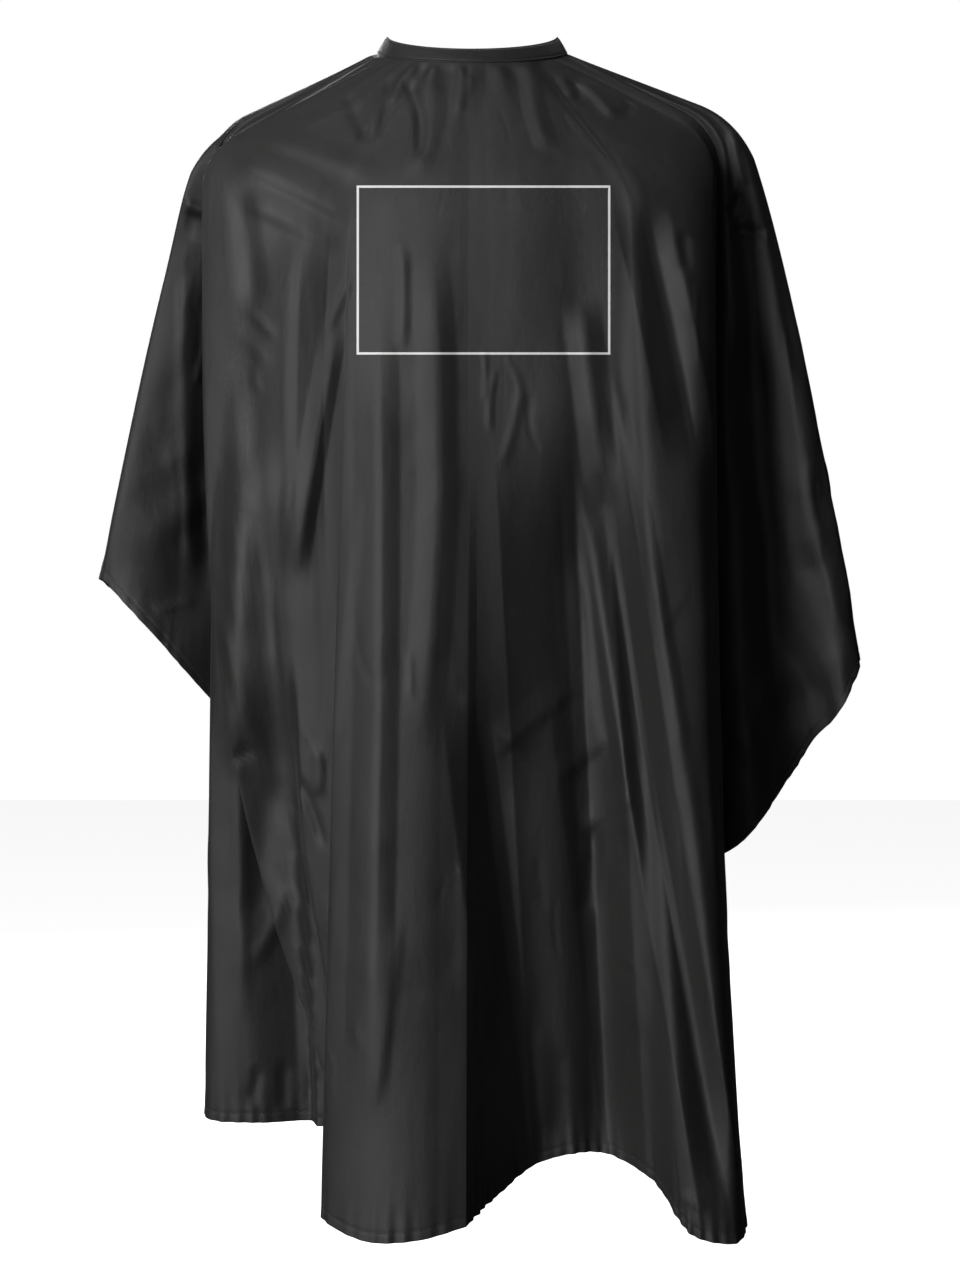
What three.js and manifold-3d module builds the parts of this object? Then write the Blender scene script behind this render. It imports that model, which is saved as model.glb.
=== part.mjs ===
// A barber cape, hung as it hangs on a wearer: one large sheet of taffeta with a neckband,
// slit down the back, closed behind the neck by a tab and a row of press studs.
// Millimetres. +Z is up, -Y is the front, +X is to the right of someone facing the front.
// The origin is the centre of the neck opening.

import * as THREE from "three";
import Module from "manifold-3d";

const wasm = await Module();
wasm.setup();

// ---------------------------------------------------------------- driving dimensions

const CLOTH_THICKNESS = 1.2; // stand-in thickness of the sheet
const SEAM_GAP = 0.45; // left open by each panel where two of them meet
const NECK_GAP = 0.5; // between the neckband and the sheet's edge
const BEND_RADIUS = 36; // how far each side of the shoulder line the cloth bends over it

const BAND_TOP = { x: 76, y: 58 }; // half axes of the neckband's upper edge
const BAND_FOOT = { x: 85, y: 68 }; // half axes of its lower edge
const BAND_TOP_Z = 12; // height of the upper edge beside and behind the neck
const BAND_DROP = 15; // height of the band
const FRONT_DIP = 26; // how much lower the band lies at the centre front

const PLY = 0.5; // one ply of the folded band
const PLY_GAP = 0.3;
const LINING = 0.5; // stiff interlining inside the band
const BAND_THICKNESS = 2 * PLY + 2 * PLY_GAP + LINING;

const FOLD_ANGLE = 132; // degrees round the neck from the centre front to each flap's fold line
const LAP_SPACE = 3.4; // between the underlap and the tab over it, for the studs
const LAP_ANGLE = 176; // degrees round the neck where the right end is fully clear of the left
const UNDERLAP = 6; // how far the left end of the band runs past the centre back
const TAB_LENGTH = 36; // how far the tab runs past the centre back

const STUD_COUNT = 5;
const STUD_PITCH = 13;
const FIRST_STUD = 1; // first stud's distance from the centre back
const CLOSED_ON = 2; // the stud that the tab's socket is pressed on to
const SNAP_RADIUS = 4.6;
const KNOB_RADIUS = 1.8;
const KNOB_HEIGHT = 1.5;
const FLANGE = 0.6;
const POST_RADIUS = 0.9;
const SNAP_GAP = 0.3;

// ---------------------------------------------------------------- the neckband's line

const DEGREES = Math.PI / 180;

// Height above the band's usual level at an angle round the neck, 0 at the centre front.
function dip(angle) {
  const forward = Math.cos(angle * DEGREES);
  const turnRadius = 0.1;
  return (-FRONT_DIP * (forward + Math.hypot(forward, turnRadius))) / 2;
}

// A point on the band's middle surface: down is 0 at its upper edge and 1 at its lower edge.
function bandPoint(side, angle, down) {
  const a = BAND_TOP.x + (BAND_FOOT.x - BAND_TOP.x) * down;
  const b = BAND_TOP.y + (BAND_FOOT.y - BAND_TOP.y) * down;
  return new THREE.Vector3(
    side * a * Math.sin(angle * DEGREES),
    -b * Math.cos(angle * DEGREES),
    BAND_TOP_Z + dip(angle) - BAND_DROP * down,
  );
}

// The band's outward normal there.
function bandNormal(side, angle) {
  const along = bandPoint(side, angle + 0.5, 0.5).sub(bandPoint(side, angle - 0.5, 0.5));
  const down = bandPoint(side, angle, 1).sub(bandPoint(side, angle, 0));
  return down.cross(along).multiplyScalar(side).normalize();
}

// The right end of the band lies outside the left one behind the neck.
function lapOffset(side, angle) {
  if (side < 0) return 0;
  const share = THREE.MathUtils.smoothstep(angle, FOLD_ANGLE, LAP_ANGLE);
  return share * (BAND_THICKNESS + LAP_SPACE);
}

// Degrees round the neck for a distance along the band at the back.
const BACK_RADIUS = (BAND_TOP.x + BAND_FOOT.x) / 2;
const backAngle = (distance) => distance / BACK_RADIUS / DEGREES;

// ---------------------------------------------------------------- how the sheet hangs

// Each fold line runs from the neckband over the body at "rest" and on down to the hem.
// angle: degrees round the neck from the centre front. swing and reach: how late the line
// moves sideways and to the front or back on its way down; at 1 it is straight. x is measured
// outwards from the centre.
const LEFT_FOLDS = [
  { angle: 0, rest: [3, -118, -150], hem: [4.5, -184, -1016], swing: 1, reach: 2 },
  { angle: 11, rest: [30, -120, -152], hem: [42, -197, -1024], swing: 1, reach: 1.6 },
  { angle: 20, rest: [64, -118, -152], hem: [84, -196, -1026], swing: 1, reach: 1.5 },
  { angle: 27, rest: [98, -112, -149], hem: [126, -160, -1012], swing: 0.6, reach: 1.8 },
  { angle: 31, rest: [128, -106, -145], hem: [42, -132, -994], swing: 3.2, reach: 1 },
  { angle: 35, rest: [144, -102, -141], hem: [74, -124, -985], swing: 3.2, reach: 1 },
  { angle: 41, rest: [166, -94, -134], hem: [88, -114, -975], swing: 3, reach: 1 },
  { angle: 49, rest: [196, -82, -123], hem: [98, -106, -968], swing: 1.9, reach: 1 },
  { angle: 57, rest: [221, -66, -112], hem: [104, -98, -962], swing: 2.8, reach: 1 },
  { angle: 59, rest: [221, -56, -108], hem: [46, -84, -958], swing: 2.6, reach: 1 },
  { angle: 61, rest: [221, -52, -106], hem: [137, -74, -955], swing: 1.6, reach: 1 },
  { angle: 64, rest: [222, -50, -104], hem: [193, -74, -954], swing: 1.3, reach: 1 },
  { angle: 66, rest: [224, -46, -102], hem: [235, -50, -951], swing: 1, reach: 1 },
  { angle: 69, rest: [226, -38, -98], hem: [216, -2, -938], swing: 1, reach: 1 },
  { angle: 72, rest: [224, -28, -94], hem: [138, 30, -924], swing: 1, reach: 1 },
  { angle: 75, rest: [226, -16, -90], hem: [140, 92, -890], swing: 1, reach: 1 },
  { angle: 78, rest: [230, -14, -88], hem: [226, 92, -846], swing: 1, reach: 1 },
  { angle: 81, rest: [230, -10, -84], hem: [226, 14, -788], swing: 1, reach: 1 },
  { angle: 83, rest: [228, -6, -82], hem: [148, 26, -724], swing: 1, reach: 1 },
  { angle: 85, rest: [230, -5, -80], hem: [168, 96, -664], swing: 1, reach: 1 },
  { angle: 87, rest: [234, -6, -78], hem: [232, 40, -594], swing: 1, reach: 1 },
  { angle: 89, rest: [234, -6, -77], hem: [283, 4, -532], swing: 0.85, reach: 1 },
  { angle: 92, rest: [238, 4, -75], hem: [337, 18, -476], swing: 0.74, reach: 1 },
  { angle: 96, rest: [235, 18, -75], hem: [318, 62, -498], swing: 0.82, reach: 1 },
  { angle: 101, rest: [228, 32, -78], hem: [250, 62, -542], swing: 1, reach: 1 },
  { angle: 108, rest: [206, 46, -84], hem: [232, 118, -600], swing: 1, reach: 1 },
  { angle: 114, rest: [176, 56, -88], hem: [172, 92, -560], swing: 1, reach: 1 },
  { angle: 121, rest: [140, 66, -92], hem: [172, 144, -470], swing: 1, reach: 1 },
  { angle: 127, rest: [108, 72, -96], hem: [128, 116, -370], swing: 1, reach: 1 },
  { angle: 132, rest: [76.8, 67, -102], hem: [104, 110, -300], swing: 1, reach: 1 },
  { angle: 146, rest: [54, 84, -101], hem: [84, 138, -296], swing: 1, reach: 1 },
  { angle: 162, rest: [28, 84, -99], hem: [48, 114, -292], swing: 1, reach: 1 },
  { angle: 179.3, rest: [3, 91, -98], hem: [14, 130, -288], swing: 1, reach: 1 },
];

const RIGHT_FOLDS = [
  { angle: 0, rest: [-3, -118, -150], hem: [-4.5, -184, -1016], swing: 1, reach: 2 },
  { angle: 5, rest: [12, -118, -150], hem: [24, -134, -1000], swing: 1, reach: 2 },
  { angle: 10, rest: [30, -118, -149], hem: [58, -108, -984], swing: 1.3, reach: 2 },
  { angle: 17, rest: [54, -116, -148], hem: [88, -106, -977], swing: 1, reach: 2 },
  { angle: 25, rest: [86, -112, -146], hem: [119, -90, -980], swing: 1, reach: 1 },
  { angle: 34, rest: [120, -108, -142], hem: [148, -104, -990], swing: 1, reach: 1 },
  { angle: 43, rest: [152, -102, -134], hem: [191, -152, -1034], swing: 1.15, reach: 1 },
  { angle: 50, rest: [184, -90, -120], hem: [219, -146, -1040], swing: 1.4, reach: 1 },
  { angle: 57, rest: [209, -70, -100], hem: [236, -106, -1034], swing: 3, reach: 1 },
  { angle: 63, rest: [210, -48, -90], hem: [212, -40, -1016], swing: 2, reach: 1 },
  { angle: 68, rest: [210, -32, -84], hem: [140, -2, -996], swing: 1, reach: 1 },
  { angle: 72, rest: [213, -20, -80], hem: [138, 72, -962], swing: 1, reach: 1 },
  { angle: 75, rest: [218, -12, -78], hem: [206, 96, -916], swing: 1, reach: 1 },
  { angle: 78, rest: [220, -8, -76], hem: [214, 26, -860], swing: 1, reach: 1 },
  { angle: 80, rest: [219, -6, -74], hem: [148, 24, -806], swing: 1, reach: 1 },
  { angle: 82, rest: [220, -5, -72], hem: [168, 84, -764], swing: 1, reach: 1 },
  { angle: 85, rest: [225, -8, -70], hem: [247, 22, -714], swing: 1, reach: 1 },
  { angle: 88, rest: [230, -6, -67], hem: [312, 38, -624], swing: 0.9, reach: 1 },
  { angle: 91, rest: [236, -4, -64], hem: [338, 12, -588], swing: 0.8, reach: 1 },
  { angle: 94, rest: [238, 6, -62], hem: [354, 30, -550], swing: 0.74, reach: 1 },
  { angle: 98, rest: [234, 20, -66], hem: [334, 84, -590], swing: 0.85, reach: 1 },
  { angle: 103, rest: [222, 34, -74], hem: [262, 80, -640], swing: 1, reach: 1 },
  { angle: 109, rest: [202, 46, -80], hem: [238, 128, -650], swing: 1, reach: 1 },
  { angle: 115, rest: [172, 56, -86], hem: [174, 96, -570], swing: 1, reach: 1 },
  { angle: 121, rest: [138, 66, -92], hem: [168, 144, -470], swing: 1, reach: 1 },
  { angle: 127, rest: [108, 72, -96], hem: [128, 116, -370], swing: 1, reach: 1 },
  { angle: 132, rest: [76.8, 67, -102], hem: [104, 110, -300], swing: 1, reach: 1 },
  { angle: 146, rest: [54, 87, -101], hem: [84, 138, -296], swing: 1, reach: 1 },
  { angle: 162, rest: [28, 89, -99], hem: [48, 120, -292], swing: 1, reach: 1 },
  { angle: 179.3, rest: [3, 96, -98], hem: [14, 134, -288], swing: 1, reach: 1 },
];

const FOLDS = { "-1": LEFT_FOLDS, 1: RIGHT_FOLDS };
const FRONT_EDGE_FOLD = { "-1": 12, 1: 8 }; // the fold at the front panel's outer edge
const FLAP_FOLD = { "-1": 29, 1: 26 }; // the fold line that each back flap turns on

// Where each fold lies round the half: its share of the hem's length.
function foldShares(folds) {
  const along = [0];
  for (let i = 1; i < folds.length; i++) {
    const a = new THREE.Vector3(...folds[i - 1].hem);
    along.push(along[i - 1] + a.distanceTo(new THREE.Vector3(...folds[i].hem)));
  }
  return along.map((d) => d / along[along.length - 1]);
}

const SHARES = { "-1": foldShares(LEFT_FOLDS), 1: foldShares(RIGHT_FOLDS) };

// A smooth curve through values at uneven places, as cubic Hermite pieces.
function through(places, values, at) {
  const last = places.length - 1;
  let i = 0;
  while (i < last - 1 && at > places[i + 1]) i++;
  const slope = (k) => (values[k + 1] - values[k]) / (places[k + 1] - places[k]);
  const tangent = (k) => {
    if (k === 0) return slope(0);
    if (k === last) return slope(last - 1);
    const before = places[k] - places[k - 1];
    const after = places[k + 1] - places[k];
    return (slope(k - 1) * after + slope(k) * before) / (before + after);
  };
  const width = places[i + 1] - places[i];
  const t = (at - places[i]) / width;
  const t2 = t * t;
  const t3 = t2 * t;
  return (
    (2 * t3 - 3 * t2 + 1) * values[i] +
    (t3 - 2 * t2 + t) * width * tangent(i) +
    (3 * t2 - 2 * t3) * values[i + 1] +
    (t3 - t2) * width * tangent(i + 1)
  );
}

// The fold line at any share of a half's hem, in the row frame.
function foldAt(side, share) {
  const folds = FOLDS[side];
  const places = SHARES[side];
  const read = (pick) => through(places, folds.map(pick), share);
  const point = (key) =>
    new THREE.Vector3(
      side * read((f) => f[key][0]),
      read((f) => f[key][1]),
      read((f) => f[key][2]),
    );
  const angle = read((f) => f.angle);
  const start = bandPoint(side, angle, 1);
  start.addScaledVector(bandNormal(side, angle), lapOffset(side, angle));
  const swing = read((f) => f.swing);
  const reach = read((f) => f.reach);
  return { start, rest: point("rest"), hem: point("hem"), swing, reach };
}

// The point a share of the way down a fold line from the neckband to the hem.
function downFold({ start, rest, hem, swing, reach }, share) {
  const run = start.distanceTo(rest);
  const fall = rest.distanceTo(hem);
  const bend = Math.min(BEND_RADIUS, 0.45 * run);
  const along = share * (run + fall);
  const over = (d) => start.clone().lerp(rest, d / run);
  const hanging = (d) => {
    const t = d / fall;
    return new THREE.Vector3(
      rest.x + (hem.x - rest.x) * Math.pow(t, swing),
      rest.y + (hem.y - rest.y) * Math.pow(t, reach),
      rest.z + (hem.z - rest.z) * t,
    );
  };
  if (along <= run - bend) return over(along);
  if (along >= run + bend) return hanging(along - run);
  const w = (along - run + bend) / (2 * bend);
  const a = over(run - bend);
  const b = hanging(bend);
  return a
    .multiplyScalar((1 - w) * (1 - w))
    .addScaledVector(rest, 2 * w * (1 - w))
    .addScaledVector(b, w * w);
}

const clothPoint = (side, across, down) => downFold(foldAt(side, across), down);

// ---------------------------------------------------------------- making solids

// A closed solid from two facing grids of points, outer and inner, each rows x columns.
function slab(outer, inner) {
  const rows = outer.length;
  const columns = outer[0].length;
  const points = [...outer.flat(), ...inner.flat()];
  const back = rows * columns;
  const at = (r, c) => r * columns + c;
  const faces = [];
  const quad = (a, b, c, d) => faces.push(a, b, c, a, c, d);
  for (let r = 0; r < rows - 1; r++) {
    for (let c = 0; c < columns - 1; c++) {
      quad(at(r, c), at(r + 1, c), at(r + 1, c + 1), at(r, c + 1));
      quad(
        back + at(r, c),
        back + at(r, c + 1),
        back + at(r + 1, c + 1),
        back + at(r + 1, c),
      );
    }
  }
  const rim = [];
  for (let c = 0; c < columns - 1; c++) rim.push(at(0, c));
  for (let r = 0; r < rows - 1; r++) rim.push(at(r, columns - 1));
  for (let c = columns - 1; c > 0; c--) rim.push(at(rows - 1, c));
  for (let r = rows - 1; r > 0; r--) rim.push(at(r, 0));
  rim.forEach((a, i) => {
    const b = rim[(i + 1) % rim.length];
    quad(a, b, back + b, back + a);
  });
  return facingOut(geometryOf(points, faces));
}

function geometryOf(points, faces) {
  const geometry = new THREE.BufferGeometry();
  geometry.setAttribute(
    "position",
    new THREE.Float32BufferAttribute(points.flatMap((p) => [p.x, p.y, p.z]), 3),
  );
  geometry.setIndex(faces);
  return geometry;
}

// Turns every face round if the body is inside out.
function facingOut(geometry) {
  const position = geometry.getAttribute("position");
  const index = geometry.getIndex().array;
  const corner = (i) => new THREE.Vector3().fromBufferAttribute(position, index[i]);
  let volume = 0;
  for (let i = 0; i < index.length; i += 3) {
    volume += corner(i).dot(corner(i + 1).cross(corner(i + 2)));
  }
  if (volume < 0) {
    for (let i = 0; i < index.length; i += 3) {
      [index[i + 1], index[i + 2]] = [index[i + 2], index[i + 1]];
    }
  }
  return geometry;
}

function toSolid(geometry) {
  return new wasm.Manifold(
    new wasm.Mesh({
      numProp: 3,
      vertProperties: geometry.getAttribute("position").array,
      triVerts: new Uint32Array(geometry.getIndex().array),
    }),
  );
}

function fromSolid(solid) {
  const mesh = solid.getMesh();
  const geometry = new THREE.BufferGeometry();
  geometry.setAttribute("position", new THREE.BufferAttribute(mesh.vertProperties, 3));
  geometry.setIndex(new THREE.BufferAttribute(mesh.triVerts, 1));
  return geometry;
}

const cutFrom = (geometry, tools) =>
  fromSolid(tools.reduce((solid, tool) => solid.subtract(toSolid(tool)), toSolid(geometry)));

// ---------------------------------------------------------------- the sheet's panels

const PANEL_ROWS = [0, 0.05, 0.1, 0.15, 0.2, 0.26, 0.34, 0.44, 0.56, 0.7, 0.85, 1];
const COLUMNS_PER_FOLD = 2;
const NEARBY = 0.002; // share of a fold or a hem, to read its direction

// Shares across a half from one fold to another, with steps between the folds.
function columnsBetween(side, first, last) {
  const places = SHARES[side];
  const columns = [];
  for (let i = first; i < last; i++) {
    for (let k = 0; k < COLUMNS_PER_FOLD; k++) {
      columns.push(places[i] + ((places[i + 1] - places[i]) * k) / COLUMNS_PER_FOLD);
    }
  }
  columns.push(places[last]);
  return columns;
}

// How far down a fold line a row of the panel lies, just below the neckband at first.
function rowShare(row, { start, rest, hem }, offset) {
  const first = (NECK_GAP + Math.max(0, offset)) / (start.distanceTo(rest) + rest.distanceTo(hem));
  return first + row * (1 - first);
}

// One panel of the sheet as a thin closed shell between two folds.
function panel(side, first, last) {
  const columns = columnsBetween(side, first, last);
  const layer = (offset) =>
    PANEL_ROWS.map((row) =>
      columns.map((across) => {
        const line = foldAt(side, across);
        const down = rowShare(row, line, offset);
        const point = downFold(line, down);
        const near = Math.max(across - NEARBY, 0);
        const far = Math.min(across + NEARBY, 1);
        const alongHem = clothPoint(side, far, down).sub(clothPoint(side, near, down));
        const inset = alongHem.clone().setLength(SEAM_GAP);
        if (across === columns[0]) point.add(inset);
        if (across === columns[columns.length - 1]) point.sub(inset);
        const alongFold = downFold(line, Math.min(down + NEARBY, 1)).sub(
          downFold(line, Math.max(down - NEARBY, 0)),
        );
        const normal = alongFold.cross(alongHem).multiplyScalar(side).normalize();
        return point.addScaledVector(normal, offset);
      }),
    );
  return slab(layer(CLOTH_THICKNESS / 2), layer(-CLOTH_THICKNESS / 2));
}

// ---------------------------------------------------------------- the neckband

const BAND_HEIGHT = bandPoint(1, 180, 1).distanceTo(bandPoint(1, 180, 0));

// A solid that follows the band between two angles. Its section is a list of [down, out]
// corners: down in millimetres from the band's upper edge, out from its middle surface.
function bandSweep(section, stations) {
  const points = [];
  const faces = [];
  const count = section.length;
  for (const { side, angle, lap } of stations) {
    const normal = bandNormal(side, angle);
    for (const [down, out] of section) {
      const point = bandPoint(side, angle, down / BAND_HEIGHT);
      points.push(point.addScaledVector(normal, out + lap));
    }
  }
  for (let s = 0; s < stations.length - 1; s++) {
    for (let k = 0; k < count; k++) {
      const a = s * count + k;
      const b = s * count + ((k + 1) % count);
      faces.push(a, b, b + count, a, b + count, a + count);
    }
  }
  const cap = THREE.ShapeUtils.triangulateShape(
    section.map(([down, out]) => new THREE.Vector2(down, out)),
    [],
  );
  const end = (stations.length - 1) * count;
  for (const [a, b, c] of cap) {
    faces.push(a, c, b);
    faces.push(end + a, end + b, end + c);
  }
  return facingOut(geometryOf(points, faces));
}

const HALF = BAND_THICKNESS / 2;

// The folded strip, open along its lower edge, and the interlining inside it.
const SHELL_SECTION = [
  [0, -HALF],
  [BAND_HEIGHT, -HALF],
  [BAND_HEIGHT, -HALF + PLY],
  [PLY, -HALF + PLY],
  [PLY, HALF - PLY],
  [BAND_HEIGHT, HALF - PLY],
  [BAND_HEIGHT, HALF],
  [0, HALF],
];
const LINING_SECTION = [
  [PLY + PLY_GAP, -LINING / 2],
  [BAND_HEIGHT - 1, -LINING / 2],
  [BAND_HEIGHT - 1, LINING / 2],
  [PLY + PLY_GAP, LINING / 2],
];

const BAND_STEP = 6; // degrees between the stations along the band

function stationsBetween(side, from, to, lap = (angle) => lapOffset(side, angle)) {
  const steps = Math.max(2, Math.ceil(Math.abs(to - from) / BAND_STEP));
  return Array.from({ length: steps + 1 }, (_, i) => {
    const angle = from + ((to - from) * i) / steps;
    return { side, angle, lap: lap(angle) };
  });
}

const END_GAP = 0.4; // degrees left open where two lengths of the band meet
const frontStations = [
  ...stationsBetween(-1, FOLD_ANGLE - END_GAP, 0),
  ...stationsBetween(1, 0, FOLD_ANGLE - END_GAP).slice(1),
];
const leftEndStations = stationsBetween(
  -1,
  FOLD_ANGLE + END_GAP,
  180 + backAngle(UNDERLAP),
);
const rightEndStations = stationsBetween(1, FOLD_ANGLE + END_GAP, 180 - END_GAP);
const TAB_LAP = BAND_THICKNESS + LAP_SPACE;
const tabBetween = (from, to) =>
  stationsBetween(1, 180 + backAngle(from), 180 + backAngle(to), () => TAB_LAP);
const tabStations = tabBetween(0.5, TAB_LENGTH);

// ---------------------------------------------------------------- press studs

const ROUND = 20; // sides of a round piece

// A round piece from its profile of [radius, height] corners, standing on +Z.
function turned(profile) {
  const points = profile.map(([r, z]) => new THREE.Vector2(r, z));
  const lathe = new THREE.LatheGeometry(points, ROUND);
  return lathe.rotateX(Math.PI / 2);
}

// A frame on the band with +Z along its outward normal, at a distance left of the centre back.
function placeOnBand(mesh, distance, out) {
  const angle = 180 - backAngle(distance);
  const normal = bandNormal(-1, angle);
  const place = bandPoint(-1, angle, 0.5).addScaledVector(normal, out);
  mesh.position.copy(place);
  mesh.quaternion.setFromUnitVectors(new THREE.Vector3(0, 0, 1), normal);
  mesh.updateMatrix();
  return mesh;
}

const studDistance = (index) => FIRST_STUD + index * STUD_PITCH;

// The stud: a flange against the cloth, a knob, and a hole for the prong ring's post.
const STUD_PROFILE = [
  [0, FLANGE],
  [POST_RADIUS + SNAP_GAP, FLANGE],
  [POST_RADIUS + SNAP_GAP, 0],
  [SNAP_RADIUS, 0],
  [SNAP_RADIUS, FLANGE],
  [KNOB_RADIUS - 0.25, FLANGE],
  [KNOB_RADIUS, FLANGE + 0.8],
  [KNOB_RADIUS - 0.4, FLANGE + KNOB_HEIGHT],
  [0, FLANGE + KNOB_HEIGHT],
];

// The ring on the far side of the cloth, with the post that goes through it.
const POST_LENGTH = BAND_THICKNESS + 2 * SNAP_GAP + FLANGE - 0.3;
const RING_PROFILE = [
  [0, -FLANGE],
  [SNAP_RADIUS - 0.6, -FLANGE],
  [SNAP_RADIUS, -FLANGE / 2],
  [SNAP_RADIUS, 0],
  [POST_RADIUS, 0],
  [POST_RADIUS, POST_LENGTH],
  [0, POST_LENGTH],
];

// The socket hangs under the tab: its mouth is at its foot and takes the stud's knob.
const SOCKET_HEIGHT = 1.9;
const SOCKET_PROFILE = [
  [0, SOCKET_HEIGHT - 0.5],
  [KNOB_RADIUS + 0.45, SOCKET_HEIGHT - 0.5],
  [KNOB_RADIUS + 0.35, 0],
  [SNAP_RADIUS - 1, 0],
  [SNAP_RADIUS, 0.7],
  [SNAP_RADIUS, SOCKET_HEIGHT],
  [POST_RADIUS + SNAP_GAP, SOCKET_HEIGHT],
  [POST_RADIUS + SNAP_GAP, SOCKET_HEIGHT - 0.25],
  [0, SOCKET_HEIGHT - 0.25],
];

// The cap that shows on the outside of the tab, with its post through the cloth.
const CAP_POST = BAND_THICKNESS + 2 * SNAP_GAP - 0.2;
const CAP_PROFILE = [
  [0, -CAP_POST],
  [POST_RADIUS, -CAP_POST],
  [POST_RADIUS, 0],
  [SNAP_RADIUS + 0.5, 0],
  [SNAP_RADIUS + 0.5, 0.5],
  [SNAP_RADIUS - 0.8, 1.1],
  [0, 1.3],
];

const DRILL_REACH = 4; // beyond the band on either side

// A drill through the band for a post, made at the place where the post goes.
function drill(distance, out) {
  const rod = turned([
    [0, -DRILL_REACH],
    [POST_RADIUS + SNAP_GAP, -DRILL_REACH],
    [POST_RADIUS + SNAP_GAP, DRILL_REACH],
    [0, DRILL_REACH],
  ]);
  const merged = weld(rod);
  return merged.applyMatrix4(placeOnBand(new THREE.Object3D(), distance, out).matrix);
}

// A geometry with only its positions, and those that coincide made one.
function weld(geometry) {
  const position = geometry.getAttribute("position");
  const index = geometry.getIndex();
  const seen = new Map();
  const points = [];
  const merged = [];
  for (let i = 0; i < index.count; i++) {
    const p = new THREE.Vector3().fromBufferAttribute(position, index.getX(i));
    const key = [p.x, p.y, p.z].map((v) => Math.round(v * 1e4)).join();
    if (!seen.has(key)) {
      seen.set(key, points.length);
      points.push(p);
    }
    merged.push(seen.get(key));
  }
  const faces = [];
  for (let i = 0; i < merged.length; i += 3) {
    const [a, b, c] = merged.slice(i, i + 3);
    if (a !== b && b !== c && a !== c) faces.push(a, b, c);
  }
  return facingOut(geometryOf(points, faces));
}

// ---------------------------------------------------------------- stitching

const THREAD = 0.35; // radius
const STITCH_INSET = 2.2; // from an edge of the band
const THREAD_SIDES = 6;

// A row of thread along the band's outer face, near its lower edge.
function bandStitch(stations) {
  const centre = [BAND_HEIGHT - STITCH_INSET, HALF + SNAP_GAP + THREAD];
  const section = Array.from({ length: THREAD_SIDES }, (_, i) => {
    const turn = (i / THREAD_SIDES) * 2 * Math.PI;
    return [centre[0] + THREAD * Math.cos(turn), centre[1] + THREAD * Math.sin(turn)];
  });
  return bandSweep(section, stations);
}

// ---------------------------------------------------------------- the assembly

const taffeta = new THREE.MeshStandardMaterial({
  name: "taffeta",
  color: 0x2c2c2b,
  roughness: 0.42,
  metalness: 0,
});
const bandCloth = new THREE.MeshStandardMaterial({
  name: "band_cloth",
  color: 0x2a2a28,
  roughness: 0.55,
  metalness: 0,
});
const lining = new THREE.MeshStandardMaterial({
  name: "interlining",
  color: 0xd8d6cf,
  roughness: 0.9,
  metalness: 0,
});
const thread = new THREE.MeshStandardMaterial({
  name: "thread",
  color: 0x1c1c1b,
  roughness: 0.7,
  metalness: 0,
});
const snapMetal = new THREE.MeshStandardMaterial({
  name: "snap_metal",
  color: 0x202124,
  roughness: 0.3,
  metalness: 0.8,
});

const cape = new THREE.Group();

function add(name, geometry, material) {
  const mesh = new THREE.Mesh(geometry, material);
  mesh.name = name;
  cape.add(mesh);
  return mesh;
}

const SIDES = { left: -1, right: 1 };

for (const [word, side] of Object.entries(SIDES)) {
  const edge = FRONT_EDGE_FOLD[side];
  const flap = FLAP_FOLD[side];
  const last = FOLDS[side].length - 1;
  add(`${word}_front_panel`, panel(side, 0, edge), taffeta);
  add(`${word}_side_drape`, panel(side, edge, flap), taffeta);
  add(`${word}_back_flap`, panel(side, flap, last), taffeta);
}

const studs = Array.from({ length: STUD_COUNT }, (_, i) => studDistance(i));
const studDrills = studs.map((distance) => drill(distance, 0));
const socketDrill = [drill(studDistance(CLOSED_ON), TAB_LAP)];

add("neckband", bandSweep(SHELL_SECTION, frontStations), bandCloth);
add("neckband_interlining", bandSweep(LINING_SECTION, frontStations), lining);
add("neckband_stitch", bandStitch(frontStations), thread);

add("underlap", cutFrom(bandSweep(SHELL_SECTION, leftEndStations), studDrills), bandCloth);
add(
  "underlap_interlining",
  cutFrom(bandSweep(LINING_SECTION, leftEndStations), studDrills),
  lining,
);

add("overlap", bandSweep(SHELL_SECTION, rightEndStations), bandCloth);
add("overlap_interlining", bandSweep(LINING_SECTION, rightEndStations), lining);
add("overlap_stitch", bandStitch(rightEndStations), thread);

add("closure_tab", cutFrom(bandSweep(SHELL_SECTION, tabStations), socketDrill), bandCloth);
add(
  "closure_tab_interlining",
  cutFrom(bandSweep(LINING_SECTION, tabStations), socketDrill),
  lining,
);
add("closure_tab_stitch", bandStitch(tabBetween(STITCH_INSET, TAB_LENGTH - STITCH_INSET)), thread);

studs.forEach((distance, i) => {
  const outside = HALF + SNAP_GAP;
  placeOnBand(add(`stud_${i + 1}`, turned(STUD_PROFILE), snapMetal), distance, outside);
  placeOnBand(add(`stud_ring_${i + 1}`, turned(RING_PROFILE), snapMetal), distance, -outside);
});

const socketAt = studDistance(CLOSED_ON);
const tabInside = TAB_LAP - HALF - SNAP_GAP - SOCKET_HEIGHT;
placeOnBand(add("snap_socket", turned(SOCKET_PROFILE), snapMetal), socketAt, tabInside);
placeOnBand(add("snap_cap", turned(CAP_PROFILE), snapMetal), socketAt, TAB_LAP + HALF + SNAP_GAP);

export default cape;
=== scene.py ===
"""A barber cape in dark satin taffeta, hung as it hangs when worn."""

import math
from typing import NamedTuple

import bmesh
import bpy
import numpy as np
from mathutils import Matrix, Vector
from mathutils.bvhtree import BVHTree


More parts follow.
